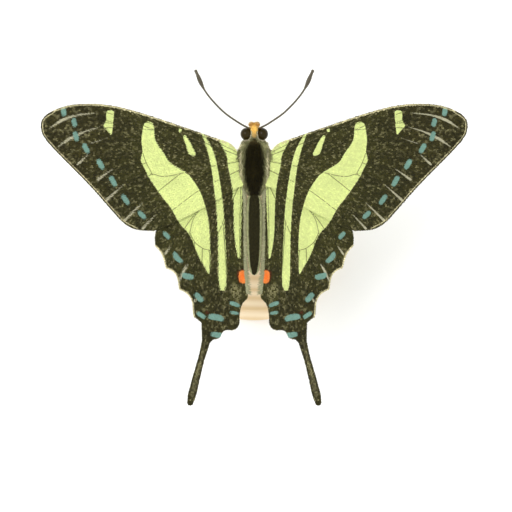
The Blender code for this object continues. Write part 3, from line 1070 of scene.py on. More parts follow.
# ---- Wings ----
@dataclass(frozen=True)
class WingSurface:
    """The gently bowed surface that a wing's midplane lies on, mm."""

    offset: float  # of this wing over the surface that both pairs share
    fold_depth: float = 0.0  # how far the inner edge folds down beside the abdomen
    rise: float = 0.125
    span_bow: float = 0.0012
    chord_bow: float = 0.0015
    root_x: float = 3.2
    fold_x: float = 1.85
    fold_width: float = 1.3

    def height(self, plan: Array) -> Array:
        """Measure the midplane's height.

        Args:
            plan: Places on the right wing (n, 2).

        Returns:
            The height at each place.
        """
        x, y = plan.T
        span = np.maximum(x - self.root_x, 0.0)
        beside = np.exp(-(np.maximum(x - self.fold_x, 0.0) / self.fold_width) ** 2)
        fade = np.clip((-y - 5.0) / 3.0, 0.0, 1.0)
        return (self.rise * span - self.span_bow * span ** 2 - self.chord_bow * y ** 2
                + self.offset - self.fold_depth * beside * fade)

    def normal(self, plan: Array) -> Array:
        """Measure which way the midplane faces.

        Args:
            plan: Places on the right wing (n, 2).

        Returns:
            The upward normal at each place.
        """
        step = 0.05
        slopes = [(self.height(plan + way) - self.height(plan - way)) / (2 * step)
                  for way in ((step, 0.0), (0.0, step))]
        return unit(np.column_stack((-slopes[0], -slopes[1], np.ones(len(plan)))))


@dataclass
class Wing:
    """One wing: a membrane on veins, scales on both faces and a fringe."""

    side: Side
    above: Material
    below: Material
    horn: Material
    half_membrane: float = 0.08
    inset: float = 0.12  # how far the membrane stops short of the fringe's tips
    anchor_depth: float = 0.6  # how far the membrane runs into the thorax
    grid: float = 0.42
    row_step: float = 0.26  # real rows are 0.1 mm apart, laid as coarse as shows
    column_step: float = 0.24
    scale_length: float = 0.44
    scale_width: float = 0.31
    scale_lift: float = 0.07
    vein_radii: Pair = (0.15, 0.07)
    vein_scale: Pair = (0.3, 0.17)
    line_step: float = 0.19  # between the narrow scales along a vein or a pale line
    corrugation: float = 0.05  # the membrane's ridges at the veins
    fringe_step: float = 0.17
    fringe_length: float = 0.42
    fringe_width: Pair = (0.16, 0.24)
    rim_line: Pair = (0.4, 0.1)  # the pale line's place inside the rim, and half its width
    rim_scale: float = 0.17  # how wide the pale line's own scales are
    fringe_show: float = 0.07  # how much of the fringe the other scales leave free
    edge_share: float = 0.7  # how far a marking's edge runs through scales, as finer rows show it

    kind = "wing"
    surface = WingSurface(0.0)
    root_ends: Pair = (-1.0, 1.0)  # y of the root's back and front
    vein_lines: tuple = ()
    wool_line: tuple = ()
    scale_centre: Pair = (1.5, 0.5)
    seed = 11

    def rim(self) -> Array:
        """Return the free edge of the right wing, from the root round to the root."""
        raise NotImplementedError

    def root(self) -> Array:
        """Follow the thorax's side along the right wing's root.

        Returns:
            Four points, from back to front.
        """
        points = []
        for y in np.linspace(*self.root_ends, 4):
            middle = self.surface.height(np.array([(self.surface.root_x, y)]))[0]
            side = max(BODY.thorax_side(y, middle + d) for d in (-0.25, 0.25))
            points.append((side + 0.15, y))
        return np.array(points)

    def veins(self) -> list[Array]:
        """Return the right wing's veins as smooth lines."""
        return [smooth_path(line, 6) for line in self.vein_lines]

    def ridge(self, points: Array) -> tuple[Array, Array]:
        """Measure the veins' relief under some places of the wing.

        Args:
            points: Places on the right wing (n, 2).

        Returns:
            How far the membrane bows up, and how far a vein stands out of it.
        """
        bow = np.zeros(len(points))
        stand = np.zeros(len(points))
        for line in self.veins():
            distance, place = line_offsets(line, points)
            radius = np.interp(place / (len(line) - 1), (0, 1), self.vein_radii)
            bow = np.maximum(bow, np.exp(-(distance / 0.55) ** 2))
            round_top = np.sqrt(np.maximum(radius ** 2 - distance ** 2, 0.0))
            stand = np.maximum(stand, round_top - self.half_membrane)
        return self.corrugation * (bow - 0.4), stand

    def lifted(self, points: Array, offset: Array | float) -> Array:
        """Place plan points of the right wing over its surface.

        Args:
            points: Places on the right wing (n, 2).
            offset: How far over the membrane's middle.

        Returns:
            The points (n, 3).
        """
        bow, _ = self.ridge(points)
        return np.column_stack((points, self.surface.height(points) + bow + offset))

    def membrane(self) -> Shape:
        """Make the right wing's membrane.

        Returns:
            The closed sheet: its top, its underside and its edge.
        """
        rim, root = self.rim(), self.root()
        ring = np.vstack((rim, root))
        ahead = np.roll(ring, -1, axis=0) - np.roll(ring, 1, axis=0)
        area = (ring[:, 0] * np.roll(ring[:, 1], -1) - np.roll(ring[:, 0], -1) * ring[:, 1]).sum()
        way = math.copysign(1.0, area)
        edge = ring + left_of(ahead) * way * self.inset
        edge[len(rim):] = root - (self.anchor_depth, 0.0)
        columns = np.arange(edge[:, 0].min(), edge[:, 0].max(), self.grid)
        rows = np.arange(edge[:, 1].min(), edge[:, 1].max(), self.grid * 0.87)
        x, y = np.meshgrid(columns, rows)
        x = x + (np.arange(len(rows)) % 2)[:, None] * self.grid / 2
        inner = np.column_stack((x.ravel(), y.ravel()))
        inner = inner[outline_reach(edge, inner) > 0.45 * self.grid]
        flat, _, faces, _, _, _ = delaunay_2d_cdt(
            [Vector(p) for p in np.vstack((edge, inner))], [], [list(range(len(edge)))], 1, 1e-6)
        flat = np.array([tuple(p) for p in flat])
        faces = np.array([tuple(f) for f in faces if len(f) == 3])
        a, b, c = (flat[faces[:, k]] for k in range(3))
        turn = (b[:, 0] - a[:, 0]) * (c[:, 1] - a[:, 1]) - (b[:, 1] - a[:, 1]) * (c[:, 0] - a[:, 0])
        faces[turn < 0] = faces[turn < 0][:, ::-1]
        count, here = len(flat), np.arange(len(edge))
        following = np.roll(here, -int(way))
        points = np.vstack([self.lifted(flat, way * self.half_membrane) for way in (1, -1)])
        sides = np.column_stack((following, here, here + count, following + count))
        return Shape(points, [faces, faces[:, ::-1] + count, sides])

    def shades(self, points: Array, spread: float) -> tuple[Array, Array]:
        """Vary scales' brightness in fine streaks that run out from the wing's base.

        Args:
            points: Places on the right wing (n, 2).
            spread: How far single scales differ.

        Returns:
            A brightness for each place, about 1, and how much of a pale speck it is.
        """
        rng = default_rng(self.seed + 2)
        offset = points - self.scale_centre
        radius = np.linalg.norm(offset, axis=1)
        turn = np.arctan2(offset[:, 1], offset[:, 0]) * 14.0
        streaks = cloud(turn / 0.35, radius / 1.6, self.seed)
        broad = cloud(points[:, 0] / 3.0 + 40, points[:, 1] / 3.0 + 40, self.seed + 1)
        shade = np.exp(spread * rng.normal(0.0, 1.0, len(points)))
        shade = shade * (1.0 + 0.5 * (streaks - 0.5)) * (1.0 + 0.35 * (broad - 0.5))
        knots = cloud(turn / 0.17, radius / 0.42, self.seed + 3)
        speck = np.clip((knots - 0.56) / 0.2, 0, 1) * rng.uniform(0.2, 1.0, len(points))
        return shade, speck

    def fields(self, points: Array, spread: float) -> Fields:
        """Read the markings, margins and shade at places of the right wing.

        Args:
            points: Places (n, 2).
            spread: How far single scales differ in brightness.

        Returns:
            The fields that the wing's finish reads.
        """
        fields = PATTERN.fields(points)
        fields["rim"] = self.rim_field(points)
        fields["costa"] = self.costa_field(points)
        shade, speck = self.shades(points, spread)
        grains = default_rng(self.seed + 9).random(len(points))
        frost = fields.pop("frost") * (grains > 0.45) + fields["tail"] * (grains > 0.6)
        fields["speck"] = np.maximum(speck, np.minimum(frost, 1.0))
        marks = np.maximum.reduce([fields[key] for key in ("green", "blue", "orange", "streak")])
        fields["shade"] = 1.0 + (shade - 1.0) * (1.0 - 0.8 * np.clip(marks / 0.1 + 0.5, 0, 1))
        return fields

    def rim_field(self, points: Array) -> Array:
        """Return how much of the pale line inside the margin shows at each place."""
        distance, _ = line_offsets(self.pale_edge(), points)
        return np.clip(1.5 - np.abs(distance - self.rim_line[0]) / self.rim_line[1], 0, 1)

    def pale_edge(self) -> Array:
        """Return the stretch of the right wing's rim that has a pale line."""
        return self.rim()

    def pale_lines(self) -> list[Array]:
        """Return the fine pale lines that narrow scales are laid along."""
        return [beside(self.pale_edge(), self.rim_line[0])]

    def costa_field(self, points: Array) -> Array:
        """Return how much of the pale front edge shows at each place."""
        return np.zeros(len(points))

    def scale_roots(self) -> tuple[Array, Array]:
        """Set out the scales' roots in rows round the wing's base.

        Returns:
            The roots in plan, and the way each scale lies.
        """
        rng = default_rng(self.seed)
        ring = np.vstack((self.rim(), self.root() - (0.5, 0.0)))
        centre = np.array(self.scale_centre)
        reach = np.linalg.norm(ring - centre, axis=1).max()
        roots = []
        for row, radius in enumerate(np.arange(0.6, reach, self.row_step)):
            count = max(int(2 * math.pi * radius / self.column_step), 6)
            angles = 2 * math.pi * (np.arange(count) + 0.5 * (row % 2)) / count
            roots.append(centre + radius * np.column_stack((np.cos(angles), np.sin(angles))))
        roots = np.vstack(roots)
        roots = roots + rng.uniform(-0.05, 0.05, roots.shape)
        low, high = ring.min(axis=0), ring.max(axis=0)
        roots = roots[((roots > low) & (roots < high)).all(axis=1)]
        roots = roots[outline_reach(ring, roots) > self.inset + 0.03]
        heading = unit(roots - centre)
        heading = unit(heading + rng.normal(0.0, 0.13, heading.shape))
        return roots, heading

    def cover(self, roots: Array, heading: Array, sizes: Sequence[Array],
              fields: Fields, top: bool, raised: Array | float) -> Coat:
        """Lay scales on one face of this wing.

        Args:
            roots: The roots in plan, on the right wing.
            heading: The way each scale lies, in plan.
            sizes: Their lengths, widths, and how far their tips stand off the wing.
            fields: The fields that their finish reads.
            top: Whether they lie on the upper face.
            raised: How far over the others' roots they stand.

        Returns:
            The coat, on this wing's side.
        """
        bow, stand = self.ridge(roots)
        face = 1.0 if top else -1.0
        height = self.surface.height(roots) + bow + face * (self.half_membrane + stand + 0.005 + raised)
        normal, mirror = self.surface.normal(roots), self.side.mirror
        low, high = self.rim().min(axis=0), self.rim().max(axis=0)
        patches = 0.02 + 0.96 * (roots - low) / (high - low)
        flat = np.column_stack((heading, np.zeros(len(roots))))
        return Coat(SHIELD, np.column_stack((roots, height)) * mirror, flat * mirror,
                    normal * mirror * face, *sizes, fields, patches)

    def scales(self, top: bool) -> Coat:
        """Cover one face with rows of scales and its fringe.

        Args:
            top: Whether it is the upper face.

        Returns:
            The coat.
        """
        rng = default_rng(self.seed + (1 if top else 2))
        ring = np.vstack((self.rim(), self.root()))
        roots, heading = self.scale_roots()
        lines, along, veined = self.line_roots()
        edge, out = self.fringe_roots() if top else (np.empty((0, 2)), np.empty((0, 2)))
        plain, narrow, fringe = counts = (len(roots), len(lines), len(edge))
        length = self.scale_length * rng.uniform(*SIZE_SPREAD, plain)
        for _ in range(3):  # the last rows are shorter, so that they stay inside the fringe
            over = outline_reach(ring, roots + heading * length[:, None]) < self.fringe_show
            length[over] *= 0.72
        width = self.scale_width * rng.uniform(*SIZE_SPREAD, plain)
        lift = self.scale_lift * rng.uniform(*LIFT_SPREAD, plain)
        groups = (
            (roots, heading, length, width, lift, roots + heading * (0.6 * length)[:, None],
             np.zeros(plain)),
            (lines, along, np.full(narrow, self.vein_scale[0]),
             np.where(veined > 0, self.vein_scale[1], self.rim_scale), np.full(narrow, 0.02), lines,
             veined),
            (edge, out, self.fringe_length * rng.uniform(0.8, 1.0, fringe),
             rng.uniform(*self.fringe_width, fringe), rng.uniform(-0.04, 0.02, fringe),
             edge + out * self.fringe_length, np.zeros(fringe)))
        roots, heading, length, width, lift, marks, veined = map(np.concatenate, zip(*groups))
        fields = self.fields(marks, 0.26)
        fields["rim"][:plain] *= 0.4
        fields["vein"] = veined * np.clip(fields["green"] / 0.1 + 0.5, 0, 1)
        self.draw_edges(roots, heading, length, width, fields)
        raised = np.repeat((0.0, 0.05, 0.0), counts)
        return self.cover(roots, heading, (length, width, lift), fields, top, raised)

    def draw_edges(
            self, roots: Array, heading: Array, length: Array, width: Array, fields: Fields) -> None:
        """Let the markings' edges run partly through the scales.

        Args:
            roots: The scales' roots in plan.
            heading: The way each scale lies.
            length: Their lengths.
            width: Their widths.
            fields: The scales' fields, one value to a scale; the markings' get one to a point.
        """
        form = np.array(SHIELD.points)[:, :2]
        ways = np.stack((heading * length[:, None], left_of(heading) * width[:, None]), axis=1)
        exact = PATTERN.fields((roots[:, None] + form @ ways).reshape(-1, 2))
        for key in ("green", "blue", "orange", "streak"):
            at_points, whole = exact[key].reshape(len(roots), -1), fields[key][:, None]
            fields[key] = whole + self.edge_share * (at_points - whole)

    def line_roots(self) -> tuple[Array, Array, Array]:
        """Set out narrow scales one after another along the veins and the pale lines.

        Returns:
            The roots in plan, the way each scale lies, and 1 for those on a vein.
        """
        veins, pale = self.veins(), self.pale_lines()
        rows = [even_steps(line, self.line_step) for line in veins + pale]
        veined = np.repeat([1.0] * len(veins) + [0.0] * len(pale), [len(row) for row in rows])
        ways = np.vstack([unit(np.gradient(row, axis=0)) for row in rows])
        roots = np.vstack(rows)
        depth = outline_reach(np.vstack((self.rim(), self.root() - (0.7, 0.0))), roots)
        keep = depth > np.where(veined > 0, 0.3, 0.06)
        return roots[keep], ways[keep], veined[keep]

    def fringe_roots(self) -> tuple[Array, Array]:
        """Set out the fringe along the free edge.

        Returns:
            The roots in plan, and the way each one points.
        """
        rng = default_rng(self.seed + 5)
        edge = even_steps(self.rim(), self.fringe_step)
        aside = left_of(np.gradient(edge, axis=0))
        ring = np.vstack((self.rim(), self.root()))
        inside = outline_reach(ring, edge + aside * 0.05) > 0
        out = np.where(inside[:, None], -aside, aside)
        roots = edge - out * (self.fringe_length - 0.03)
        keep = outline_reach(ring, roots) > 0.1
        way = unit(out + rng.normal(0.0, 0.12, out.shape))
        return roots[keep], way[keep]

    def vein_shape(self) -> Shape:
        """Make the right wing's veins.

        Returns:
            A tube along each vein.
        """
        tubes = []
        for line in self.veins():
            flat = even_steps(line, 0.7)
            radii = np.linspace(*self.vein_radii, len(flat))
            tubes.append(tube(self.lifted(flat, 0.0), radii, sides=8))
        return joined(tubes)

    def wool(self) -> Coat:
        """Lay long pale hair inwards from the wing's inner edge, beside the abdomen.

        Returns:
            The coat.
        """
        rng = default_rng(self.seed + 6)
        line = even_steps(smooth_path(self.wool_line, 6), 0.032)
        count = len(line)
        roots = line + np.column_stack((rng.uniform(0.0, 0.35, count), rng.normal(0.0, 0.05, count)))
        heading = unit((-1.0, -0.5) + rng.normal(0.0, 0.25, (count, 2)))
        length = rng.uniform(0.75, 1.25, count)
        fields = self.fields(roots, 0.2)
        fields["wool"] = np.ones(count)
        sizes = (length, rng.uniform(0.08, 0.13, count), rng.uniform(-0.1, 0.12, count))
        coat = self.cover(roots, heading, sizes, fields, True, 0.03)
        coat.lock = WISP
        return coat

    def build(self) -> None:
        """Make the wing's pieces."""
        name = f"{self.kind}_{self.side.label}"
        shape = self.membrane()
        counts = [len(rows) for rows in shape.faces]
        place_piece(
            f"{name}_membrane", shape.on(self.side), (self.above, self.below), (name,),
            fields=self.fields(shape.points[:, :2], 0.0), numbers=np.repeat((0, 1, 1), counts))
        place_piece(f"{name}_veins", self.vein_shape().on(self.side), (self.horn,))
        self.scales(True).build(f"{name}_upper_scales", Slot.WING, self.above)
        if self.wool_line:
            self.wool().build(f"{name}_margin_hair", Slot.WING, self.above)
        self.scales(False).build(f"{name}_under_scales", Slot.WING, self.below)


@dataclass
class Forewing(Wing):
    """A forewing: long, narrow and cut straight along its outer margin."""

    kind = "forewing"
    surface = WingSurface(0.37)
    root_ends: Pair = (-3.6, 2.6)
    seed = 21
    scale_centre: Pair = (1.0, 0.5)
    front: Line = (
        (3.2, 3.0), (4.6, 4.4), (7.2, 5.35), (13.3, 7.45), (20.9, 9.95), (26.3, 11.35),
        (30.3, 11.8), (34.6, 11.6), (38.0, 10.55), (40.0, 9.1), (40.45, 7.3), (39.8, 5.3),
        (37.2, 2.3), (31.4, -3.6), (26.9, -8.7), (24.9, -10.8), (22.6, -12.1), (19.0, -12.4))
    hind_bow: float = 0.5
    costa_inset: float = 0.26
    vein_lines: tuple = (
        ((3.0, 2.6), (8.0, 4.9), (15.0, 7.6), (22.0, 10.2)),
        ((2.6, 1.9), (8.0, 3.9), (13.0, 5.6), (18.0, 6.7), (22.3, 7.1)),
        ((2.6, 1.0), (9.0, -0.2), (13.5, -1.3), (17.0, -2.0), (19.4, -1.5)),
        ((22.3, 7.1), (21.9, 4.9), (21.3, 2.9), (20.5, 0.6), (19.4, -1.5)),
        ((15.5, 6.2), (22.0, 9.1), (29.0, 11.6)),
        ((19.0, 6.85), (27.0, 9.8), (34.0, 11.55)),
        ((22.3, 7.1), (26.0, 8.0), (31.0, 9.3), (38.0, 10.4)),
        ((26.0, 8.0), (32.0, 8.4), (40.1, 8.3)),
        ((24.0, 7.4), (31.0, 7.0), (39.7, 6.0)),
        ((21.9, 5.0), (29.0, 4.4), (37.2, 2.4)),
        ((21.3, 2.9), (27.5, 1.7), (34.6, -0.3)),
        ((20.5, 0.6), (25.5, -1.2), (31.4, -3.5)),
        ((19.4, -1.5), (23.5, -3.9), (28.5, -6.9)),
        ((14.0, -1.4), (19.0, -5.4), (25.3, -10.4)),
        ((2.6, -0.6), (10.0, -4.3), (16.0, -8.7), (21.6, -12.1)))

    def rim(self) -> Array:
        """Draw the free edge of the right wing.

        Returns:
            Its points, from the root's front to its back.
        """
        outline = smooth_path(self.front, 5)
        corner, back = outline[-1], self.root()[0]
        chord = back - corner
        aside = np.array((chord[1], -chord[0])) / np.hypot(*chord)
        t = np.linspace(0, 1, 18)[1:-1, None]
        hind = corner + chord * t - aside * self.hind_bow * np.sin(math.pi * t)
        return np.vstack((outline, hind))

    def pale_edge(self) -> Array:
        """Return the outer margin of the right wing."""
        return smooth_path(self.front[8:17], 5)

    def pale_lines(self) -> list[Array]:
        """Return the pale lines inside the front edge and the outer margin."""
        return super().pale_lines() + [beside(smooth_path(self.front[:9], 4), self.costa_inset)]

    def costa_field(self, points: Array) -> Array:
        """Read how much of the pale front edge shows.

        Args:
            points: Places on the right wing (n, 2).

        Returns:
            An amount for each place, 0 to 1.
        """
        distance, place = line_offsets(smooth_path(self.front[:9], 4), points)
        fade = np.interp(place, (0, 4, 24, 31), (0.3, 1.0, 0.95, 0.6))
        flecks = cloud(points[:, 0] / 0.45, points[:, 1] / 0.45, self.seed + 4)
        broken = np.interp(points[:, 0], (10.0, 24.0), (1.0, 0.0)) * (flecks < 0.42)
        line = np.clip(1.6 - np.abs(distance - self.costa_inset) / 0.12, 0, 1)
        return line * fade * (1.0 - 0.75 * broken)


@dataclass
class Hindwing(Wing):
    """A hindwing: scalloped, with one long tail and a folded inner edge."""

    kind = "hindwing"
    surface = WingSurface(-0.37, fold_depth=0.55)
    root_ends: Pair = (-4.4, -0.2)
    seed = 41
    rim_line: Pair = (0.15, 0.2)
    rim_scale: float = 0.3
    fringe_show: float = 0.16
    wool_line: tuple = (
        (2.1, -4.2), (1.95, -5.4), (1.85, -9.0), (1.85, -13.5), (1.75, -18.5), (1.5, -22.2),
        (1.25, -24.2))
    scale_centre: Pair = (2.4, -0.5)
    costa: Line = ((7.0, 0.9), (12.5, -2.6), (17.0, -8.2), (18.8, -12.4), (18.95, -15.2))
    teeth: Line = ((18.95, -15.2), (16.85, -19.4), (14.3, -23.5), (11.6, -28.7))
    scallop_depths: Triple = (0.45, 0.9, 1.1)
    scallop_skew: float = 0.8
    tail_notch: Pair = (10.15, -29.9)
    tail_centre: Line = (
        (9.15, -31.2), (9.3, -33.6), (10.2, -37.0), (11.17, -40.6), (11.9, -43.6), (12.28, -45.24))
    tail_half_widths: Row = (1.02, 0.84, 0.7, 0.8, 0.88, 0.66)
    lobes: Line = (
        (7.85, -33.2), (6.6, -32.8), (5.75, -31.5), (3.8, -31.3), (2.85, -30.3), (2.75, -28.5),
        (2.3, -26.5), (1.3, -25.3))
    inner_margin: Line = (
        (1.15, -24.4), (1.5, -22.2), (1.75, -18.5), (1.85, -13.5), (1.85, -9.0), (1.95, -6.2))
    vein_lines: tuple = (
        ((2.8, -1.0), (9.0, -2.6), (14.2, -7.4), (17.6, -12.0), (18.8, -15.0)),
        ((2.6, -1.8), (6.0, -3.8), (8.8, -6.4), (11.4, -9.6), (12.3, -12.6)),
        ((2.4, -2.8), (4.9, -8.0), (7.1, -13.3), (8.6, -16.0)),
        ((12.3, -12.6), (11.4, -14.4), (9.9, -15.6), (8.6, -16.0)),
        ((8.8, -6.4), (12.6, -10.8), (15.2, -15.6), (16.75, -19.2)),
        ((12.3, -12.6), (13.5, -17.6), (14.2, -23.2)),
        ((11.4, -14.4), (12.0, -20.0), (11.65, -28.3)),
        ((9.9, -15.6), (10.1, -22.0), (9.7, -29.0), (9.5, -33.5), (10.2, -37.0), (11.17, -40.6),
         (11.95, -44.0)),
        ((8.6, -16.0), (8.2, -22.0), (7.3, -28.0), (6.75, -32.5)),
        ((6.0, -10.6), (5.45, -18.0), (5.0, -25.0), (4.7, -31.1)),
        ((2.6, -4.0), (2.8, -12.0), (2.75, -20.0), (3.0, -27.0), (3.2, -30.2)))

    def pale_edge(self) -> Array:
        """Draw the outer margin, a hollow between each two teeth.

        Returns:
            Its points, from the front.
        """
        points = []
        for start, end, depth in zip(self.teeth, self.teeth[1:], self.scallop_depths):
            chord = np.subtract(end, start)
            inward = np.array((chord[1], -chord[0])) / np.hypot(*chord)
            t = np.linspace(0, 1, 15)[:-1, None]
            hollow = np.sin(math.pi * t ** self.scallop_skew) ** 1.3
            points.append(start + chord * t + inward * depth * hollow)
        return np.vstack(points + [self.teeth[-1]])

    def tail(self) -> Array:
        """Draw the tail's outline.

        Returns:
            Its points, down its outer side and up its inner side.
        """
        centre = smooth_path(self.tail_centre, 5)
        place = np.linspace(0, len(self.tail_half_widths) - 1, len(centre))
        widths = np.interp(place, range(len(self.tail_half_widths)), self.tail_half_widths)
        aside = left_of(np.gradient(centre, axis=0))
        outer, inner = centre + aside * widths[:, None], centre - aside * widths[:, None]
        heading = math.atan2(*(centre[-1] - centre[-2])[::-1])
        ways = heading + np.linspace(math.pi / 2, -math.pi / 2, 13)[1:-1]
        tip = centre[-1] + widths[-1] * np.column_stack((np.cos(ways), np.sin(ways)))
        return np.vstack((outer[2:], tip, inner[:4:-1]))

    def rim(self) -> Array:
        """Draw the free edge of the right wing.

        Returns:
            Its points, from the root's front to its back.
        """
        root = self.root()
        costa = smooth_path([root[-1]] + list(self.costa), 5)
        lobes = smooth_path(self.lobes, 5)
        inner = smooth_path([lobes[-1]] + list(self.inner_margin) + [root[0]], 5)
        return np.vstack(
            (costa[1:-1], self.pale_edge(), self.tail_notch, self.tail(), lobes, inner[1:-1]))


# ---- Body ----
@dataclass(frozen=True)
class BodyPattern:
    """Where the body's colours lie, mm from the wing joint."""

    dorsal_y: Row = (-5.2, -4.2, -3.0, -1.3, 0.6, 1.8, 3.0, 3.9, 4.5, 4.85, 5.1, 5.3)
    dorsal_half: Row = (1.05, 1.45, 1.8, 1.98, 1.93, 1.8, 1.62, 1.4, 1.12, 0.8, 0.4, -0.3)
    amber_y: Row = (5.3, 5.5, 5.95, 6.35, 6.6, 7.0, 7.4, 7.8, 8.2)
    amber_half: Row = (-0.3, 0.28, 0.42, 0.42, 0.5, 0.82, 1.05, 1.3, 1.5)
    front_y: float = 3.7  # where the dark oval turns browner
    cap_y: float = 7.5  # where the palps' darker hair starts
    flank_x: float = 2.5  # a pale stripe of hair runs along each flank
    glow_at: Pair = (0.0, 6.95)
    blush_at: Pair = (0.62, 8.0)

    def fields(self, points: Array) -> Fields:
        """Read the body's colours at some points.

        Args:
            points: Points on the skin (n, 3).

        Returns:
            The fields that the coats' finishes read.
        """
        x, y, z = np.abs(points[:, 0]), points[:, 1], points[:, 2]
        centre, width, height = BODY.section(y)
        rise = (z - centre) / height
        upper = rise > -0.2
        eye = np.column_stack((x, y, z)) - BODY.eye_centre
        from_eye = np.sqrt(((eye / BODY.eye_radii) ** 2).sum(axis=1)) - 1.0
        from_glow = np.hypot((x - self.glow_at[0]) / 0.6, (y - self.glow_at[1]) / 0.75)
        from_blush = np.hypot(x - self.blush_at[0], y - self.blush_at[1]) / 0.42
        amber = np.interp(y, self.amber_y, self.amber_half) - x
        dorsal = np.where(upper, np.interp(y, self.dorsal_y, self.dorsal_half) - x, -1.0)
        from_cap = np.hypot(x / 1.16, (y - 7.85) / 0.66)
        return {
            "dorsal": dorsal,
            "dusk": np.clip((y - self.front_y) / 1.1, 0, 1) * np.clip(dorsal / 0.3 + 0.5, 0, 1),
            "cap": np.clip((y - self.cap_y) / 0.35, 0, 1),
            "brim": np.clip((from_cap - 0.8) / 0.1, 0, 1) * (y > 7.5),
            "belly": np.clip(-rise - 0.35, 0, 0.4) / 0.4,
            "flank": np.clip(1.2 - np.abs(x - self.flank_x) / 0.25, 0, 1) * (upper & (y < 4.9)),
            "orbit": np.clip(1.5 - from_eye / 0.2, 0, 1) * (y < 6.6),
            "amber": np.where(z > -1.9, amber, -1.0),
            "glow": np.clip(1.5 - from_glow, 0, 1) * (amber > 0),
            "blush": np.clip(1.3 - from_blush, 0, 1),
            "pale": np.where(upper, x / width - 0.74, 0.4) * 1.5,
            "line": 0.12 - np.abs(rise + 0.25) * 1.5,
        }


BODY_PATTERN = BodyPattern()


@dataclass
class Body:
    """Head, neck, thorax, abdomen and palps under one skin, and their coats."""

    hair: Material
    scales: Material
    sides: int = 48
    voxel: float = 0.11
    palp_path: Line3 = (
        (0.35, 7.1, -1.7), (0.42, 7.7, -1.95), (0.5, 8.02, -1.1), (0.54, 8.05, -0.2),
        (0.56, 8.0, 0.3))
    palp_radii: Row = (0.25, 0.26, 0.36, 0.4, 0.26)
    hips: Line = ((1.0, 3.0), (1.6, 0.9), (1.8, -1.3))
    hip_radii: Triple = (0.62, 0.62, 0.8)
    face_centre: Triple = (0.0, 7.55, -0.3)
    face_radii: Triple = (0.85, 0.74, 0.8)
    tegula_centre: Triple = (2.78, 2.35, 0.55)
    tegula_radii: Triple = (0.42, 0.85, 0.3)
    waist_y: float = -5.3  # between the thorax's hair and the abdomen's scales
    nape_y: float = 4.95  # between the head's hair and the thorax's
    thorax_tufts: int = 13500
    head_tufts: int = 5200
    thorax_hair_width: Pair = (0.1, 0.17)
    head_hair_width: Pair = (0.07, 0.11)
    row_step: float = 0.22  # between the abdomen's rows of scales
    scale_step: float = 0.24  # between scales in a row
    scale_size: Triple = (0.4, 0.28, 0.08)  # length, width and lift
    seed: int = 71
    skin: Shape = field(init=False)
    normals: Array = field(init=False)

    def core(self) -> Shape:
        """Loft the body from the face to the tip of the abdomen.

        Returns:
            The closed shape.
        """
        path = smooth_path(BODY.skin_rows(), 6)
        first, last = BODY.abdomen[0][0], BODY.abdomen[-1][0]
        along = np.clip((first - path[:, 0]) / (first - last), 0, 1)
        swell = np.abs(np.sin(math.pi * BODY.segments * along)) ** 0.5
        scale = np.where(along > 0, 1 - BODY.groove * (1 - swell), 1.0)
        angles = 2 * math.pi * np.arange(self.sides) / self.sides
        power = 2 / BODY.roundness
        c, s = (np.copysign(np.abs(v) ** power, v) for v in (np.cos(angles), np.sin(angles)))
        y, z, width, height = path.T
        wide, high = (width * scale)[:, None], (height * scale)[:, None]
        rings = np.broadcast_arrays(wide * c, y[:, None], z[:, None] + high * s)
        return outward(loft(np.stack(rings, axis=-1)))

    def make_skin(self) -> None:
        """Grow the core, palps, hips and wing covers into one skin without seams."""
        parts = [self.core(), ellipsoid(self.face_centre, self.face_radii)]
        palp = smooth_path(self.palp_path, 4)
        radii = np.interp(np.linspace(0, 4, len(palp)), range(5), self.palp_radii)
        for side in Side:
            tegula = ellipsoid(self.tegula_centre, self.tegula_radii)
            parts += [tube(palp, radii).on(side), tegula.on(side)]
            for x, y in self.hips:
                centre = (x, y, BODY.thorax_underside(x, y) + 0.35)
                parts.append(ellipsoid(centre, self.hip_radii).on(side))
        draft = joined(parts).to_mesh("body_draft")
        obj = add_object("body_draft", draft)
        remesh = obj.modifiers.new("grow", "REMESH")
        remesh.mode = "VOXEL"
        remesh.voxel_size = self.voxel
        soften = obj.modifiers.new("soften", "SMOOTH")
        soften.factor = 0.5
        soften.iterations = 5
        made = bpy.data.meshes.new_from_object(obj.evaluated_get(bpy.context.evaluated_depsgraph_get()))
        self.skin, self.normals = read_shape(made)
        bpy.data.objects.remove(obj)
        bpy.data.meshes.remove(draft)
        bpy.data.meshes.remove(made)

    def place_skin(self) -> None:
        """Dress the skin in the coat's colours and put it in the scene."""
        points = self.skin.points
        fields = {**BODY_PATTERN.fields(points), "shade": np.full(len(points), 0.85)}
        middle = points[self.skin.faces[0]].mean(axis=1)
        place_piece(
            "body_skin", self.skin, (self.hair, self.scales),
            ("head", "neck", "thorax", "abdomen", "palp_left", "palp_right"), crease=60.0,
            fields=fields, numbers=middle[:, 1] < self.waist_y)

    def sample(self, count: int, low: float, high: float, seed: int) -> tuple[Array, Array]:
        """Spread roots evenly over a length of the skin.

        Args:
            count: How many.
            low: The length's hind end, y.
            high: Its front end, y.
            seed: Which spread.

        Returns:
            The roots and the skin's normal at each.
        """
        rng = default_rng(seed)
        corners = self.skin.faces[0]
        middle = self.skin.points[corners].mean(axis=1)
        corners = corners[(middle[:, 1] > low) & (middle[:, 1] <= high)]
        a, b, c = (self.skin.points[corners[:, k]] for k in range(3))
        area = np.linalg.norm(np.cross(b - a, c - a), axis=1)
        place = (np.arange(count) + rng.random(count)) / count * area.sum()
        chosen = np.searchsorted(np.cumsum(area), place).clip(0, len(area) - 1)
        u, v = rng.random(count), rng.random(count)
        over = u + v > 1
        u[over], v[over] = 1 - u[over], 1 - v[over]
        weights = np.column_stack((1 - u - v, u, v))[:, :, None]
        picked = corners[chosen]
        roots = (self.skin.points[picked] * weights).sum(axis=1)
        return roots, unit((self.normals[picked] * weights).sum(axis=1))

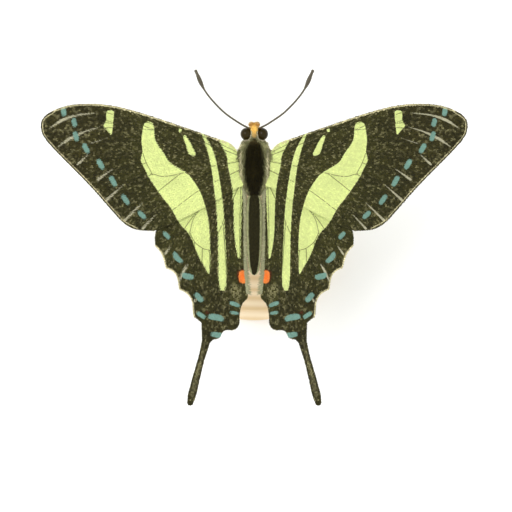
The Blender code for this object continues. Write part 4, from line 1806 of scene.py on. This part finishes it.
    def patches(self, roots: Array) -> Array:
        """Unroll the skin about the body's length.

        Args:
            roots: Places on the skin (n, 3).

        Returns:
            Their places on the unrolled skin, 0 to 1.
        """
        centre, _, _ = BODY.section(roots[:, 1])
        turn = np.arctan2(roots[:, 0], roots[:, 2] - centre) / (2 * math.pi) + 0.5
        low, high = roots[:, 1].min(), roots[:, 1].max()
        return np.column_stack((0.02 + 0.96 * turn, 0.02 + 0.96 * (roots[:, 1] - low) / (high - low)))

    def beside_eye(self, points: Array, margin: float) -> Array:
        """Return which points lie in or within a margin of either eye."""
        offset = np.column_stack((np.abs(points[:, 0]), points[:, 1:])) - BODY.eye_centre
        return ((offset / (np.array(BODY.eye_radii) + margin)) ** 2).sum(axis=1) < 1

    def thorax_coat(self) -> Coat:
        """Lay the thorax's hair back along the body, longer on its sides and below.

        Returns:
            The coat.
        """
        rng = default_rng(self.seed)
        roots, normals = self.sample(self.thorax_tufts, self.waist_y, self.nape_y, self.seed + 1)
        side = np.clip(np.abs(roots[:, 0]) / 3.0, 0, 1)
        below = np.clip(-normals[:, 2], 0, 1)
        ruff = np.clip((roots[:, 1] - 4.1) / 0.6, 0, 1)
        joint = (side > 0.8) & (np.abs(roots[:, 2] - 0.95) < 0.65) & (np.abs(roots[:, 1] + 0.9) < 3.1)
        cover = (np.abs(roots[:, 0]) > 2.9) & (roots[:, 1] > 1.4)
        aside = np.sign(roots[:, 0]) * (0.1 + 0.3 * side ** 2 + 0.7 * joint * ~cover)
        along = np.column_stack((aside, -1.0 + 1.25 * ruff, 0.7 * ruff - 0.25 * side))
        along = along + rng.normal(0.0, 0.16, along.shape)
        length = 0.6 + 0.4 * side + 0.35 * below - 0.2 * ruff - 0.55 * cover
        length = length * rng.uniform(*HAIR_SPREAD, len(roots))
        width = rng.uniform(*self.thorax_hair_width, len(roots))
        lift = length * (0.26 + 0.1 * ruff) * rng.uniform(*LIFT_SPREAD, len(roots))
        marks = roots + unit(along) * (0.5 * length)[:, None] + rng.normal(0.0, 0.12, roots.shape)
        fields = BODY_PATTERN.fields(marks)
        strands = cloud(marks[:, 0] / 0.2 + 50, marks[:, 1] / 1.3 + 50, self.seed + 2)
        fields["shade"] = np.exp(rng.normal(0.0, 0.24, len(roots)) + 0.9 * (strands - 0.5))
        return Coat(WISP, roots - normals * 0.03, along, normals, length, width, lift, fields,
                    self.patches(roots))

    def head_coat(self) -> Coat:
        """Cover the head and palps in short hair, swept forward over the face.

        Returns:
            The coat.
        """
        rng = default_rng(self.seed + 10)
        roots, normals = self.sample(self.head_tufts, self.nape_y, 9.0, self.seed + 11)
        keep = ~self.beside_eye(roots, 0.03)
        roots, normals = roots[keep], normals[keep]
        front = np.clip((roots[:, 1] - 6.2) / 0.9, 0, 1)
        palp = roots[:, 1] > 7.68
        parting = 0.9 * np.clip(np.abs(roots[:, 0]) / 0.55 - 1.0, -1, 1)  # joins the palps' hair
        temple = 0.2 + 0.6 * np.clip((roots[:, 1] - 6.9) / 0.2, 0, 1)
        aside = np.sign(roots[:, 0]) * np.where(palp, parting, temple)
        ahead, up = np.where(palp, 0.5, 0.8 * front + 0.15), np.where(palp, 0.8, 0.5 - 0.3 * front)
        along = np.column_stack((aside, ahead, up)) + rng.normal(0.0, 0.2, roots.shape)
        length = np.where(palp, 0.46, 0.38) * rng.uniform(*HAIR_SPREAD, len(roots))
        width = rng.uniform(*self.head_hair_width, len(roots))
        lift = length * 0.35 * rng.uniform(0.5, 1.3, len(roots))
        fields = BODY_PATTERN.fields(roots + unit(along) * (0.4 * length)[:, None])
        shade = np.interp(roots[:, 1], (5.3, 6.1), (0.75, 1.0))
        fields["shade"] = np.exp(rng.normal(0.0, 0.16, len(roots))) * shade
        return Coat(WISP, roots - normals * 0.02, along, normals, length, width, lift, fields,
                    self.patches(roots))

    def abdomen_coat(self) -> Coat:
        """Lay the abdomen's scales in rows, each row over the one behind it.

        Returns:
            The coat.
        """
        rng = default_rng(self.seed + 20)
        rows = []
        for k, y in enumerate(np.arange(-5.4, -20.5, -self.row_step)):
            centre, width, height = (float(v) for v in BODY.section(np.array(y)))
            count = max(int(2 * math.pi * (width + height) / 2 / self.scale_step), 6)
            turn = 2 * math.pi * (np.arange(count) + 0.5 * (k % 2)) / count
            x, z = width * np.sin(turn), centre + height * np.cos(turn)
            rows.append(np.column_stack((x, np.full(count, y), z)))
        tree = KDTree(len(self.skin.points))
        for number, point in enumerate(self.skin.points):
            tree.insert(point, number)
        tree.balance()
        near = [tree.find(point)[1] for point in np.vstack(rows)]
        roots, normals = self.skin.points[near], self.normals[near]
        roots = roots + rng.normal(0.0, 0.02, roots.shape)
        along = (0.0, -1.0, 0.0) + rng.normal(0.0, 0.1, roots.shape)
        spreads = ((0.85, 1.2), SIZE_SPREAD, (0.6, 1.3))
        sizes = [size * rng.uniform(*spread, len(roots))
                 for size, spread in zip(self.scale_size, spreads)]
        fields = BODY_PATTERN.fields(roots)
        fields["shade"] = 1.0 + rng.normal(0.0, 0.14, len(roots))
        return Coat(SHIELD, roots, along, normals, *sizes, fields, self.patches(roots))

    def build(self) -> None:
        """Make the skin and its coats."""
        self.make_skin()
        self.place_skin()
        self.thorax_coat().build("thorax_hair", Slot.BODY, self.hair)
        self.head_coat().build("head_hair", Slot.BODY, self.hair)
        self.abdomen_coat().build("abdomen_scale_rows", Slot.ABDOMEN, self.scales)


@dataclass
class Eye:
    """A compound eye, a smooth bead set in the side of the head."""

    side: Side
    cornea: Material

    def build(self) -> None:
        """Make the eye."""
        name, bead = f"eye_{self.side.label}", ellipsoid(BODY.eye_centre, BODY.eye_radii, 48, 64)
        place_piece(f"{name}_bead", bead.on(self.side), (self.cornea,), (name,), 80)


# ---- Limbs ----
@dataclass
class Antenna:
    """A ringed feeler that swells to a club."""

    side: Side
    horn: Material
    path: Line3 = (
        (0.96, 7.22, 0.6), (1.5, 7.47, 1.35), (2.9, 8.2, 1.95), (6.0, 10.4, 2.6), (9.2, 14.0, 3.0),
        (11.1, 18.0, 3.1))
    radius: float = 0.19
    club_radius: float = 0.43
    club_start: float = 0.76
    ring_mm: float = 0.42  # length of one segment

    def build(self) -> None:
        """Make the feeler."""
        fine = even_steps(smooth_path(((0.78, 7.1, 0.1),) + self.path, 12), self.ring_mm / 6)
        along = np.linspace(0, 1, len(fine))
        swell = np.clip((along - self.club_start) / (1 - self.club_start), 0, 1)
        bulge = np.sin(math.pi * np.minimum(swell, 0.82)) ** 1.2
        radii = self.radius + (self.club_radius - self.radius) * bulge
        phase = np.arange(len(fine)) % 6
        radii = radii * np.where(phase == 0, 0.82, np.where(phase == 3, 1.04, 1.0))
        radii[:4] = self.radius * 1.15
        name = f"antenna_{self.side.label}"
        place_piece(f"{name}_feeler", tube(fine, radii, 14).on(self.side),
                    (self.horn,), (name,), 60)


@dataclass
class Proboscis:
    """The tongue: two grooved half tubes, coiled like a watch spring."""

    horn: Material
    centre: Pair = (7.0, -3.6)
    spiral: Pair = (0.35, 1.15)
    turns: float = 1.75
    radius: float = 0.24

    def build(self) -> None:
        """Make the tongue."""
        count = int(self.turns * 96)
        along = np.arange(count + 1) / count
        angle = math.pi / 2 - 2 * math.pi * self.turns * (1 - along)
        reach = self.spiral[0] + (self.spiral[1] - self.spiral[0]) * along
        path = np.column_stack(
            (np.zeros(count + 1), self.centre[0] + reach * np.cos(angle),
             self.centre[1] + reach * np.sin(angle)))
        path = np.vstack((path, (0.0, 7.1, -2.25), (0.0, 7.05, -1.95)))
        radii = self.radius * np.interp(along, (0, 0.3, 1), (0.45, 0.8, 1.0))
        radii = np.concatenate((radii, (self.radius, self.radius)))
        radii = radii * np.where(np.arange(len(radii)) % 3 == 0, 0.9, 1.0)
        place_piece("tongue_coil", tube(path, radii, 14, flat=0.9), (self.horn,),
                    ("proboscis",), 60)


@dataclass
class Leg:
    """A jointed leg: thigh, spurred shin, five foot segments and two claws."""

    side: Side
    name: str
    hip: Pair
    knee: Triple
    ankle: Triple
    toe: Triple
    horn: Material
    scales: Material
    thigh_radii: Pair = (0.36, 0.29)  # without the scales
    shin_radii: Pair = (0.26, 0.22)
    foot_radii: Pair = (0.25, 0.2)
    row_step: float = 0.17
    row_count: int = 11

    def segment(self, start: Array, end: Array, radii: Pair, belly: float) -> Shape:
        """Make one segment, slightly fuller in its middle.

        Args:
            start: Its upper end.
            end: Its lower end.
            radii: Its radius at both ends.
            belly: How much fuller the middle is.

        Returns:
            The segment.
        """
        t = np.linspace(0, 1, 13)
        path = start + (end - start) * t[:, None]
        size = np.interp(t, (0, 1), radii) * (1 + belly * np.sin(math.pi * t))
        size = size * np.interp(t, (0, 0.08, 0.92, 1), (0.75, 1, 1, 0.85))
        return tube(path, size, 14)

    def spine(self, root: Array, way: Array, length: float, radius: float) -> Shape:
        """Make one pointed spine, spur or claw."""
        path = root + unit(way) * length * np.linspace(0, 1, 5)[:, None]
        return tube(path, radius * np.array((1.0, 0.85, 0.65, 0.4, 0.12)), 6)

    def coat(self, joints: Sequence[Array]) -> Coat:
        """Lay small scales in rows down the thigh and shin, paler on their undersides.

        Args:
            joints: Hip, knee, ankle and toe of the right leg.

        Returns:
            The coat, on this leg's side.
        """
        rng = default_rng(int(abs(self.knee[1]) * 100))
        parts = []
        for part, radii in enumerate((self.thigh_radii, self.shin_radii)):
            start, span = joints[part], joints[part + 1] - joints[part]
            rows = int(np.linalg.norm(span) / self.row_step)
            row, place = np.divmod(np.arange(rows * self.row_count), self.row_count)
            t, turn = (row + 0.5) / rows, 2 * math.pi * (place + 0.5 * (row % 2)) / self.row_count
            aside = unit(np.cross(span, (0.0, 0.0, 1.0)))
            up = aside * np.cos(turn)[:, None] + np.cross(aside, unit(span)) * np.sin(turn)[:, None]
            roots = start + span * t[:, None] + up * np.interp(t, (0, 1), radii)[:, None]
            patches = np.column_stack(((t + part) / 2, turn / (2 * math.pi + 1)))
            parts.append((roots, np.broadcast_to(span, up.shape), up, patches))
        roots, along, up, patches = map(np.concatenate, zip(*parts))
        count, mirror = len(roots), self.side.mirror
        fields = {"pale": -up[:, 2] + rng.normal(0.0, 0.2, count),
                  "shade": np.exp(rng.normal(0.0, 0.25, count))}
        lie = unit(along * mirror) + rng.normal(0.0, 0.12, along.shape)
        return Coat(SHIELD, roots * mirror, lie, up * mirror, rng.uniform(0.24, 0.32, count),
                    rng.uniform(0.14, 0.18, count), rng.uniform(0.02, 0.06, count), fields, patches)

    def build(self) -> None:
        """Make the leg."""
        hip_z = BODY.thorax_underside(*self.hip)
        joints = [np.array(p) for p in ((*self.hip, hip_z - 0.1), self.knee, self.ankle, self.toe)]
        parts = [self.segment(joints[0], joints[1], self.thigh_radii, 0.06),
                 self.segment(joints[1], joints[2], self.shin_radii, 0.04)]
        shin = joints[2] - joints[1]
        for t in np.linspace(0.25, 0.95, 7):
            for sign in (-1.0, 1.0):
                root = joints[1] + shin * t
                way = unit(shin) * 0.8 + (sign * 0.6, 0.0, -0.35)
                parts.append(self.spine(root, way, 0.62 if t > 0.9 else 0.42, 0.05))
        foot = joints[3] - joints[2]
        cuts = np.array((0.0, 0.42, 0.6, 0.74, 0.86, 0.97))
        for a, b in zip(cuts, cuts[1:]):
            radii = np.interp((a, b), (0, 1), self.foot_radii)
            parts.append(self.segment(joints[2] + foot * a, joints[2] + foot * b, radii, 0.08))
        for sign in (-1.0, 1.0):
            way = unit(foot) + (sign * 0.55, 0.0, -0.35)
            parts.append(self.spine(joints[3] - unit(foot) * 0.15, way, 0.4, 0.07))
        name = f"{self.name}_{self.side.label}"
        place_piece(
            f"{name}_limb", joined(parts).on(self.side), (self.horn,), (name,), 50)
        self.coat(joints).build(f"{name}_scales", Slot.CUTICLE, self.scales)


LEGS = {
    "foreleg": ((1.0, 3.0), (1.75, 5.3, -4.9), (1.7, 2.0, -7.3), (1.6, -1.8, -8.7)),
    "midleg": ((1.6, 0.9), (4.4, 2.6, -5.4), (4.2, -1.8, -8.0), (3.7, -6.2, -9.4)),
    "hindleg": ((1.8, -1.3), (3.4, -3.0, -6.0), (3.1, -8.0, -6.3), (2.4, -12.6, -7.4)),
}


# ---- Stand ----
@dataclass
class Stand:
    """A turned wooden base, a steel rod up to the thorax and a brass collar at its foot.

    An outline gives each corner's radius and height over the stand's underside.
    """

    base: Line = (
        (0.4, 0.0), (16.5, 0.0), (16.85, 0.12), (17.0, 0.45), (17.0, 2.5), (16.94, 2.8),
        (16.72, 3.25), (16.45, 3.55), (16.05, 3.84), (15.65, 4.05), (15.2, 4.14), (15.1, 4.2),
        (15.06, 4.42), (14.95, 4.5), (0.4, 4.5))
    collar: Line = (
        (0.92, 4.5), (2.48, 4.5), (2.6, 4.62), (2.6, 5.1), (2.5, 5.25), (1.85, 5.5), (1.65, 5.8),
        (1.6, 6.3), (1.52, 6.42), (0.92, 6.45))
    rod_radius: float = 0.9
    rod_foot: float = 4.0
    rod_y: float = -2.2

    def build(self) -> None:
        """Make the stand's three pieces."""
        place_piece("stand_base_turned", turned(self.base, 144, -JOINT[1]),
                    (OiledMaple().build(),), ("stand_base",), 35)
        r, top = self.rod_radius, JOINT[2] + BODY.thorax_underside(0.0, self.rod_y)
        rod = ((r, self.rod_foot), (r, top - 0.5), (r - 0.12, top - 0.3), (r - 0.2, top + 0.2))
        steel = DrawnMetal("brushed_steel", "#c9cacb", 0.3, 0.12, (1.0, 1.0, 0.04)).build()
        place_piece("stand_rod_steel", turned(rod, 48, self.rod_y), (steel,),
                    ("stand_rod",), 35)
        brass = DrawnMetal("turned_brass", "#d9b063", 0.26, 0.14, (1.0, 1.0, 1.0)).build()
        place_piece("stand_collar_brass", turned(self.collar, 72, self.rod_y),
                    (brass,), ("stand_collar",), 35)


# ---- Studio ----
@dataclass
class Studio:
    """A pale floor, soft light all round and a camera straight above the butterfly."""

    floor_colour: str = "#f7f7f5"
    frame_width: float = 97.28  # what the camera takes in at the wings' height, mm
    frame_centre: Pair = (0.33, -3.8)
    wing_level: float = 35.0
    lens: float = 150.0
    floor_radius: float = 9.0  # m
    sky: float = 1.12
    key_power: float = 4.5
    fill_power: float = 1.0

    def add_floor(self) -> None:
        """Lay the floor."""
        angles = 2 * math.pi * np.arange(96) / 96
        rim = self.floor_radius * np.column_stack((np.cos(angles), np.sin(angles), np.zeros(96)))
        mesh = Shape(rim, [np.arange(96)[None]]).to_mesh("studio_floor")
        material, tree, place = start_material("matt_paper_floor")
        fibre = add_node(tree, "TexNoise", {"Scale": 60.0, "Detail": 4.0}, {"Vector": place})
        colour = add_node(
            tree, "Mix", {"data_type": "RGBA", 6: linear(self.floor_colour), 7: linear("#f3f3f0")},
            {0: fibre.outputs["Fac"]})
        shader = add_node(
            tree, "BsdfPrincipled", {"Roughness": 0.9, "Specular IOR Level": 0.1},
            {"Base Color": colour.outputs[2]})
        add_node(tree, "OutputMaterial", {}, {"Surface": shader.outputs["BSDF"]})
        mesh.materials.append(material)
        add_object("studio_floor", mesh)

    def add_light(self, name: str, place: Triple, size: float, power: float) -> None:
        """Hang a soft square lamp that faces the butterfly.

        Args:
            name: The lamp's name.
            place: Where it hangs, m.
            size: Its width, m.
            power: Its power, W.
        """
        lamp = bpy.data.lights.new(name, "AREA")
        lamp.size = size
        lamp.energy = power
        obj = add_object(name, lamp)
        obj.location = place
        aim = Vector((0.0, 0.0, 0.03)) - Vector(place)
        obj.rotation_euler = aim.to_track_quat("-Z", "Y").to_euler()

    def add_camera(self) -> None:
        """Set the camera over the wings, looking straight down with the head upwards."""
        lens = bpy.data.cameras.new("camera")
        lens.lens = self.lens
        distance = self.frame_width * MM * self.lens / lens.sensor_width
        camera = add_object("camera", lens)
        camera.location = (
            self.frame_centre[0] * MM, self.frame_centre[1] * MM, self.wing_level * MM + distance)
        bpy.context.scene.camera = camera

    def build(self) -> None:
        """Set up floor, light and camera."""
        scene = bpy.context.scene
        world = bpy.data.worlds.new("studio")
        world.use_nodes = True
        world.node_tree.nodes.clear()
        sky = add_node(
            world.node_tree, "Background", {"Color": (1.0, 1.0, 1.0, 1.0), "Strength": self.sky})
        add_node(world.node_tree, "OutputWorld", {}, {"Surface": sky.outputs["Background"]})
        scene.world = world
        scene.view_settings.view_transform = "Standard"
        self.add_floor()
        self.add_light("key", (-0.35, 0.25, 0.8), 0.6, self.key_power)
        self.add_light("fill", (0.5, -0.4, 0.5), 0.8, self.fill_power)
        self.add_camera()


def main() -> None:
    """Build the butterfly, its stand and the studio."""
    logging.basicConfig(level=logging.INFO, format="%(name)s: %(message)s")
    horn = Cuticle().build()
    above, below, leg_scales = UPPER_SCALES.build(), UNDER_SCALES.build(), LEG_SCALES.build()
    Studio().build()
    Stand().build()
    Body(BODY_HAIR.build(), ABDOMEN_SCALES.build()).build()
    Proboscis(horn).build()
    cornea = CompoundEye().build()
    for side in Side:
        Eye(side, cornea).build()
        Antenna(side, horn).build()
        for name, (hip, knee, ankle, toe) in LEGS.items():
            Leg(side, name, hip, knee, ankle, toe, horn, leg_scales).build()
        Forewing(side, above, below, horn).build()
        Hindwing(side, above, below, horn).build()


if __name__ == "__main__":
    main()
